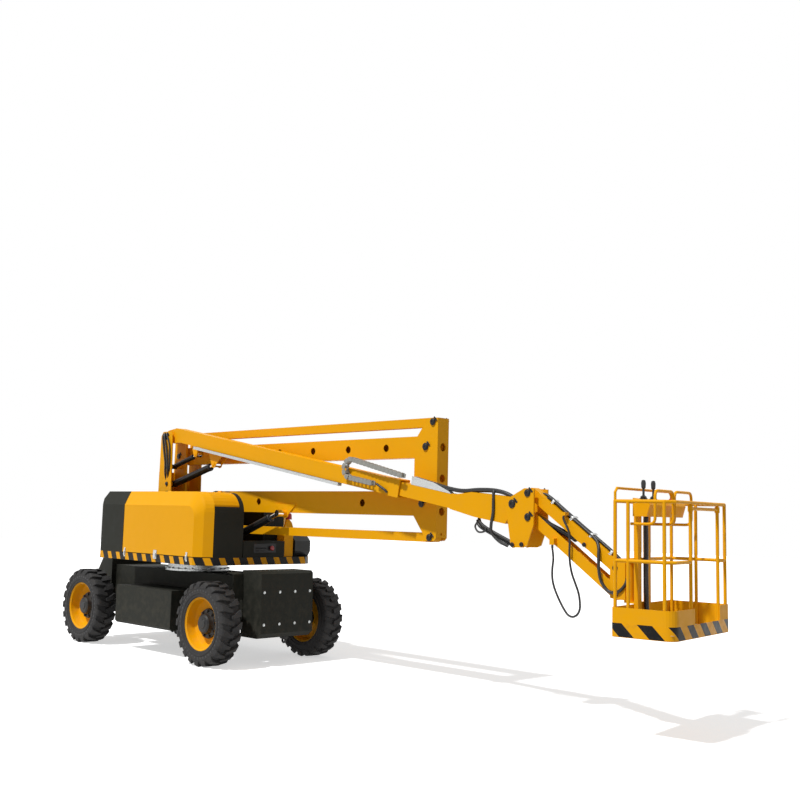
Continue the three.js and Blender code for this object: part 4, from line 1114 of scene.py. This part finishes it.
for name, radius, across, rise in (
    ("jib_hose_2", 0.012, -0.099, 0.058), ("jib_hose_3", 0.009, -0.078, 0.055),
):
    route = [
        on_jib(0.06, 0.036, across), on_jib(0.12, rise, across), on_jib(0.3, rise, across),
        on_jib(0.5, rise - 0.002, across), on_jib(0.7, rise, across), on_jib(0.86, rise, across),
        on_jib(0.95, rise - 0.008, across), on_jib(1.0, 0.03, across),
    ]
    fit(sweep(name, smooth(route), radius), "jib_upper", hose_rubber)
droop = [on_jib(*point) for point in (
    (0.13, 0.040, -0.115), (0.18, 0.066, -0.122), (0.26, 0.066, -0.124),
    (0.40, 0.060, -0.124), (0.55, 0.060, -0.124), (0.69, 0.058, -0.134),
    (0.76, 0.035, -0.158), (0.81, -0.015, -0.176), (0.87, -0.090, -0.182),
    (0.94, -0.150, -0.182), (1.03, -0.170, -0.180), (1.09, -0.130, -0.176),
    (1.11, -0.060, -0.170), (1.09, 0.000, -0.150),
)]
droop_hose = sweep("jib_hose_1", smooth(droop), 0.013, True)
fit(droop_hose, None, hose_rubber)
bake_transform(droop_hose)

clip = merged("jib_hose_clip", [
    brick((-0.012, -0.045, -0.004), (0.012, 0.043, 0.0), 0.001),
    brick((-0.012, -0.033, 0.0), (0.012, 0.041, 0.028), 0.003),
])
clip.data.transform(Matrix.Rotation(math.radians(35.2), 4, "Y"))
clips = grown(
    "jib_hose_clips", clip, 4, on_jib(0.2, 0.0455, -0.105), zinc_plate, step=jib_axis * 0.22
)
fit(clips, "jib_upper", zinc_plate)

# Pivot pins ---------------------------------------------------------------------------
# Turned steel pins, blackened, held in the plates by a flanged head at each side and a
# keeper strip with one bolt.
KEEPER = 0.016


def pin_head(name, place, outward, radius):
    """The flanged end of a pin that stands out of a plate along Y."""
    profile = [
        (0.0, 0.0), (radius * 1.25, 0.0), (radius * 1.25, 0.004), (radius, 0.006),
        (radius, 0.011), (radius * 0.86, 0.014), (radius * 0.3, 0.014), (radius * 0.24, 0.010),
        (0.0, 0.010),
    ]
    head = lathe(name, [(r, outward * a) for r, a in profile], 20)
    head.data.transform(Matrix.Translation(place))
    if radius < 0.024:
        return [head]
    reach = Vector((radius * 1.3, outward * 0.004, radius * 1.0))
    strip = merged(f"{name}_keeper", [
        brick(
            (-KEEPER * 1.6, min(0, outward * 0.005), -KEEPER / 2),
            (KEEPER * 1.6, max(0, outward * 0.005), KEEPER / 2),
        )
    ])
    strip.data.transform(Matrix.Rotation(math.radians(45), 4, "Y"))
    strip.data.transform(Matrix.Translation(place + reach - Vector((0, outward * 0.004, 0))))
    screw = bolt(f"{name}_screw", 0.013, 0.008, (0, outward, 0))
    screw.data.transform(Matrix.Translation(place + reach))
    return [head, strip, screw]


def shifted(joint, x=0, z=0):
    return Vector((pin_at[joint].x + x, 0, pin_at[joint].z + z))


pins = {
    "end_link": [
        (shifted("end_link_turn"), 0.019, 0.181, 0.028),
        (shifted("end_link_turn", 0.104, -0.306), 0.019, 0.181, 0.026),
        (shifted("upper_arm_turn"), 0.019, 0.181, 0.028),
        (shifted("top_link_turn"), 0.019, 0.181, 0.026),
    ],
    "mast": [
        (shifted("boom_lift"), -0.210, 0.012, 0.028),
        (shifted("boom_ram_turn"), -0.210, 0.012, 0.02),
        (shifted("level_ram_turn"), -0.210, 0.012, 0.02),
        (shifted("mast_turn"), -0.012, 0.210, 0.028),
        (shifted("mast_turn", 0.086, 0.226), -0.012, 0.210, 0.02),
    ],
    "turntable": [
        (shifted("riser_lift"), 0.010, 0.190, 0.028),
        (shifted("bottom_link_turn"), 0.010, 0.190, 0.02),
        (shifted("riser_ram_turn"), -0.108, 0.190, 0.02),
    ],
    "jib_knuckle": [
        (shifted("knuckle_level"), -0.210, -0.010, 0.028),
        (shifted("knuckle_level", 0.014, -0.331), -0.220, 0.0, 0.016),
        (shifted("knuckle_level", 0.109, -0.326), -0.220, 0.0, 0.016),
        (shifted("jib_lift"), -0.210, -0.010, 0.025),
        (shifted("jib_lower_turn"), -0.210, -0.010, 0.025),
    ],
    "platform_mount": [
        (shifted("mount_level"), -0.165, -0.055, 0.018),
        (shifted("mount_level", 0.004, -0.193), -0.165, -0.055, 0.018),
    ],
    "jib_upper": [(jib_pin + Vector((0.508, 0, -0.395)), -0.155, -0.065, 0.014)],
}
for body, places in pins.items():
    heads = []
    for i, (place, right, left, radius) in enumerate(places):
        for label, across, way in (("right", right, -1), ("left", left, 1)):
            seat = Vector((place.x, across, place.z))
            heads += pin_head(f"{body}_pin_{i}_{label}", seat, way, radius)
    whole = joined(f"{body}_pins", heads)
    fit(whole, body, black_enamel)

# Cylinder glands and ports ------------------------------------------------------------
# Each barrel ends in a screwed gland, and carries an oil pipe from its base port to its
# gland.
rams = {
    # name: (barrel radius, rod radius, barrel share of the closed length)
    "riser_ram": (0.042, 0.025, 0.88),
    "boom_ram": (0.040, 0.024, 0.86),
    "level_ram": (0.027, 0.014, 0.80),
    "jib_ram": (0.024, 0.013, 0.80),
}
lugs_at = {
    "riser_ram": from_slew(1.480, -0.046, 1.541),
    "boom_ram": on_boom(0.916, -0.181, -0.105),
    "level_ram": on_boom(0.537, -0.126, -0.105),
    "jib_ram": jib_pin + Vector((0.508, 0, -0.395)),
}
for name, (barrel, rod, share) in rams.items():
    base = pin_at[f"{name}_turn"].copy()
    eye = lugs_at[name].copy()
    eye.y = base.y
    line = eye - base
    turn = Vector((0, 1, 0)).rotation_difference(line).to_matrix().to_4x4()
    stop = line.length * share
    profile = [
        (rod + 0.0008, stop - 0.02), (barrel + 0.0035, stop - 0.02),
        (barrel + 0.0035, stop - 0.002),
        (barrel - 0.002, stop + 0.004), (rod + 0.006, stop + 0.006), (rod + 0.0008, stop + 0.006),
    ]
    gland = lathe(f"{name}_collar", profile, 28)
    near = Vector((barrel + 0.006, 0.09, 0) if barrel > 0.03 else (barrel + 0.004, 0.06, 0))
    pipe_path = [
        Vector((barrel - 0.004, near.y, 0)), Vector((near.x + 0.006, near.y, 0)),
        Vector((near.x + 0.006, near.y + 0.03, 0)), Vector((near.x + 0.006, stop - 0.06, 0)),
        Vector((near.x + 0.006, stop - 0.03, 0)), Vector((barrel - 0.002, stop - 0.012, 0)),
    ]
    pipe = sweep(f"{name}_oil_pipe", smooth(pipe_path, 4), 0.005)
    turned = Matrix.Translation(base) @ turn
    for piece in (gland, pipe):
        piece.data.transform(turned)
    whole = joined(f"{name}_gland", [gland, pipe])
    fit(whole, f"{name}_barrel", black_enamel)

# Door latches, ground controls and beacon ---------------------------------------------
# Zinc latches hold the doors to the deck's edge. The ground controls are a row of toggles
# over a bar and a red mushroom stop button. A red beacon stands on the lamp post.
latches = []
for i, x in enumerate((-0.30, 0.31, 0.90)):
    for side, way in (("right", -1), ("left", 1)):
        if side == "left" and x > 0.5:
            continue
        face = way * (deck_half + 0.001)
        plate_x = 0.030 if i == 1 else 0.014
        lo_y, hi_y = sorted((face, face + way * 0.006))
        lo_k, hi_k = sorted((face + way * 0.006, face + way * 0.016))
        latch = merged(f"latch_{side}_{i}", [
            brick(
                (middle + x - plate_x, lo_y, deck_high.z - 0.045),
                (middle + x + plate_x, hi_y, deck_high.z + 0.05),
            ),
            brick(
                (middle + x - plate_x * 0.6, lo_k, deck_high.z - 0.03),
                (middle + x + plate_x * 0.6, hi_k, deck_high.z + 0.022),
                0.003,
            ),
        ])
        latches.append(latch)
latch_set = joined("door_latches", latches)
fit(latch_set, "turntable", zinc_plate)

red_plastic = moulded("moulded red thermoplastic", 60.0, 3.0, "b8121b", "8e0d14", 0.3)

box_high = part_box("ground_control_box")[1]
mushroom = lathe(
    "ground_stop_button",
    [
        (0.0, 0.0), (0.014, 0.0), (0.014, 0.016), (0.026, 0.020), (0.027, 0.030),
        (0.02, 0.036), (0.0, 0.038),
    ],
    24,
    "X",
)
mushroom.data.transform(Matrix.Translation((box_high.x, 0.13, 1.165)))
fit(mushroom, "turntable", red_plastic)
panel_parts = [
    brick((box_high.x, -0.10, 1.115), (box_high.x + 0.006, 0.20, 1.215), 0.003),
    brick((box_high.x + 0.006, -0.075, 1.135), (box_high.x + 0.02, 0.06, 1.14), 0.002),
]
for i in range(5):
    y = -0.06 + 0.028 * i
    panel_parts.append(brick(
        (box_high.x + 0.006, y - 0.004, 1.16), (box_high.x + 0.03, y + 0.004, 1.168)
    ))
    panel_parts.append(brick(
        (box_high.x + 0.005, y - 0.009, 1.155), (box_high.x + 0.01, y + 0.009, 1.173)
    ))
ground_panel = merged("ground_control_panel", panel_parts)
fit(ground_panel, "turntable", black_enamel)

lamp_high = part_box("lamp_post")[1]
beacon = lathe(
    "beacon_lens",
    [
        (0.0, 0.0), (0.036, 0.0), (0.037, 0.006), (0.033, 0.012), (0.032, 0.05),
        (0.022, 0.066), (0.0, 0.07),
    ],
    28,
    "Z",
)
beacon.data.transform(Matrix.Translation((lamp_high.x - 0.01, 0.402, lamp_high.z - 0.005)))
fit(beacon, "turntable", red_plastic)

# Chassis trim -------------------------------------------------------------------------
# Cover bolts on the front and rear boxes, a folded fender lip behind each front wheel and
# a forged towing eye below the front.
front_low, front_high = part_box("front_box")
rear_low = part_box("rear_box")[0]
trim = []
for label, x, way in (("front", front_high.x, 1), ("rear", rear_low.x, -1)):
    for row, z in enumerate((0.42, 0.74)):
        lean = 0.014 * (z - 0.33) / 0.6 if way > 0 else 0
        screw = bolt(f"{label}_cover_screw_{row}", 0.017, 0.009, (way, 0, 0))
        trim.append(grown(
            f"{label}_cover_screws_{row}", screw, 4,
            (x - way * (lean + 0.0005), -0.30, z), zinc_plate, step=(0, 0.2, 0),
        ))
cover_screws = joined("cover_screws", trim)
fit(cover_screws, "chassis", zinc_plate)

eye_profile = [(0.022 + 0.011 * math.cos(a), 0.011 * math.sin(a)) for a in (
    2 * math.pi * k / 10 for k in range(10)
)]
tow_eye = lathe("tow_eye_ring", eye_profile, 24, "Y")
tow_eye.data.transform(Matrix.Translation((front_high.x - 0.13, 0.07, front_low.z - 0.045)))
tow_stem = merged("tow_eye_stem", [
    brick(
        (front_high.x - 0.17, 0.045, front_low.z - 0.03),
        (front_high.x - 0.09, 0.095, front_low.z + 0.004), 0.005,
    ),
])
tow = joined("towing_eye", [tow_eye, tow_stem])
fit(tow, "chassis", black_enamel)

fenders = []
for side, way in (("right", -1), ("left", 1)):
    inner, outer = sorted((way * 0.341, way * 0.47))
    top = front_high.z - 0.02
    points = [
        (front_low.x + 0.012, top - 0.28), (front_low.x + 0.018, top - 0.28),
        (front_low.x + 0.018, top - 0.02), (front_low.x - 0.09, top),
        (front_low.x - 0.09, top - 0.006), (front_low.x + 0.012, top - 0.026),
    ]
    fenders.append(to_object(f"fender_{side}", loft([
        [(x, inner, z) for x, z in points], [(x, outer, z) for x, z in points]
    ])))
fender_lips = joined("fender_lips", fenders)
fit(fender_lips, "chassis", grey_enamel)

# Slewing ring bolts -------------------------------------------------------------------
# High-tensile hexagon bolts through the ring's flange, one every fifteen degrees.
SLEW_BOLTS = 24
ring_low, ring_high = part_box("slew_ring")
ring_radius = (ring_high.x - ring_low.x) / 2
flange = lathe(
    "slew_flange",
    [
        (ring_radius - 0.01, 0.0), (ring_radius + 0.03, 0.0), (ring_radius + 0.03, 0.02),
        (ring_radius + 0.004, 0.024), (ring_radius + 0.004, 0.05), (ring_radius - 0.01, 0.05),
    ],
    64,
    "Z",
)
flange.data.transform(Matrix.Translation((middle, 0, ring_low.z)))
flange.data.materials.append(zinc_plate)
screw = bolt("slew_bolt", 0.024, 0.015, (0, 0, 1))
screw.data.transform(Matrix.Translation((ring_radius + 0.017, 0, 0.02)))
slew_bolts = grown(
    "slew_bolts", screw, SLEW_BOLTS, (middle, 0, ring_low.z), zinc_plate,
    turn=(0, 0, 2 * math.pi / SLEW_BOLTS),
)
slew_trim = joined("slew_flange_and_bolts", [flange, slew_bolts])
fit(slew_trim, "chassis", zinc_plate)

# Platform console and floor -----------------------------------------------------------
# One long folded steel box hangs on the near rail under two round-tube guards. Its right
# half carries two joysticks in rubber boots, its left half rocker switches and a stop button.
console_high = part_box("control_console")[1]
NEAR_RAIL = PLATFORM_NEAR + 0.021
TOP_RAIL = console_high.z - 0.030
boot_profile = [
    (0.0, 0.0), (0.034, 0.0), (0.034, 0.006), (0.028, 0.010), (0.03, 0.016), (0.022, 0.021),
    (0.024, 0.028), (0.015, 0.034), (0.009, 0.04), (0.008, 0.085), (0.016, 0.095),
    (0.018, 0.13), (0.013, 0.15), (0.0, 0.154),
]
sticks = []
for i, (outward, left) in enumerate(((0.15, -0.07), (0.15, 0.10))):
    stick = lathe(f"joystick_{i}", boot_profile, 20, "Z")
    stick.data.transform(Matrix.Translation(on_platform(outward, left, TOP_RAIL + 0.012)))
    sticks.append(stick)
joysticks = joined("joysticks", sticks)
fit(joysticks, "platform", hose_rubber)

yaw_turn = Matrix.Rotation(PLATFORM_YAW, 4, "Z")
keys = []
for i in range(8):
    key = merged(f"rocker_{i}", [brick((-0.010, -0.007, 0), (0.010, 0.007, 0.007), 0.0015)])
    key.data.transform(yaw_turn)
    row, column = divmod(i, 4)
    key.data.transform(Matrix.Translation(
        on_platform(0.13 + 0.035 * row, 0.24 + 0.035 * column, TOP_RAIL + 0.013 - 0.007 * row)
    ))
    keys.append(key)
rockers = joined("rocker_switches", keys)
fit(rockers, "platform", black_enamel)
stop = lathe(
    "platform_stop_button",
    [
        (0.0, 0.0), (0.013, 0.0), (0.013, 0.012), (0.024, 0.016), (0.024, 0.024),
        (0.018, 0.030), (0.0, 0.031),
    ],
    24,
    "Z",
)
stop.data.transform(Matrix.Translation(on_platform(0.15, 0.44, TOP_RAIL + 0.010)))
fit(stop, "platform", red_plastic)

GUARD_RADIUS = 0.011


def rounded(points, radius, steps=5):
    """A path through the points with its inner corners rounded."""
    path = [Vector(points[0])]
    for before, here, after in zip(points, points[1:], points[2:]):
        before, here, after = Vector(before), Vector(here), Vector(after)
        first = here + (before - here).normalized() * radius
        second = here + (after - here).normalized() * radius
        for i in range(steps + 1):
            t = i / steps
            path.append((1 - t) ** 2 * first + 2 * t * (1 - t) * here + t ** 2 * second)
    return [*path, Vector(points[-1])]


guards = []
for i, (left, right) in enumerate(((-0.155, 0.165), (0.19, 0.505))):
    route = [
        on_platform(NEAR_RAIL + reach, across, TOP_RAIL + rise)
        for reach, across, rise in (
            (0.01, left, -0.16), (0.20, left, -0.16), (0.20, left, 0.085),
            (0.20, right, 0.085), (0.20, right, -0.16), (0.01, right, -0.16),
        )
    ]
    guards.append(sweep(f"console_guard_{i}", rounded(route, 0.05), GUARD_RADIUS, sides=12))
console_guards = joined("console_guards", guards)
fit(console_guards, "platform", yellow_enamel)

bundle = [on_platform(u, v, TOP_RAIL - drop) for u, v, drop in (
    (0.112, 0.06, 0.80), (0.114, 0.05, 0.66), (0.112, 0.05, 0.5), (0.114, 0.05, 0.34),
    (0.112, 0.05, 0.2), (0.114, 0.05, 0.1), (0.12, 0.05, 0.06),
)]
fit(
    sweep("console_conduit", smooth(bundle), 0.02, True, 12),
    "platform", hose_rubber,
)

tread_low = floor_low.z + 0.0405
bead = merged("tread_bead", [brick((-0.014, -0.0025, -0.001), (0.014, 0.0025, 0.002), 0.0015)])
bead.data.transform(Matrix.Rotation(math.radians(45), 4, "Z") @ yaw_turn)
BEAD_ROWS = 13
BEADS_A_ROW = 23
rows = []
for i in range(BEAD_ROWS):
    shape = bpy.data.objects.new(f"bead_{i}", bead.data.copy())
    bpy.context.scene.collection.objects.link(shape)
    if i % 2:
        shape.data.transform(Matrix.Rotation(math.radians(-90), 4, "Z"))
    start = on_platform(0.085 + i * 0.034, PLATFORM_RIGHT + 0.06 + (i % 2) * 0.02, tread_low)
    step = on_platform(0, 0.04, 0) - on_platform(0, 0, 0)
    rows.append(grown(f"tread_row_{i}", shape, BEADS_A_ROW, start, zinc_plate, step=step))
bpy.data.objects.remove(bead)
tread = joined("tread_plate_beads", rows)
fit(tread, "platform", zinc_plate)
sheet_corners = [
    on_platform(u, v, tread_low)
    for u, v in ((0.07, -0.395), (0.515, -0.395), (0.515, 0.595), (0.07, 0.595))
]
sheet = to_object("tread_sheet", loft([
    [corner + Vector((0, 0, -0.0003)) for corner in sheet_corners],
    [corner + Vector((0, 0, 0.0007)) for corner in sheet_corners],
]))
fit(sheet, "platform", zinc_plate)
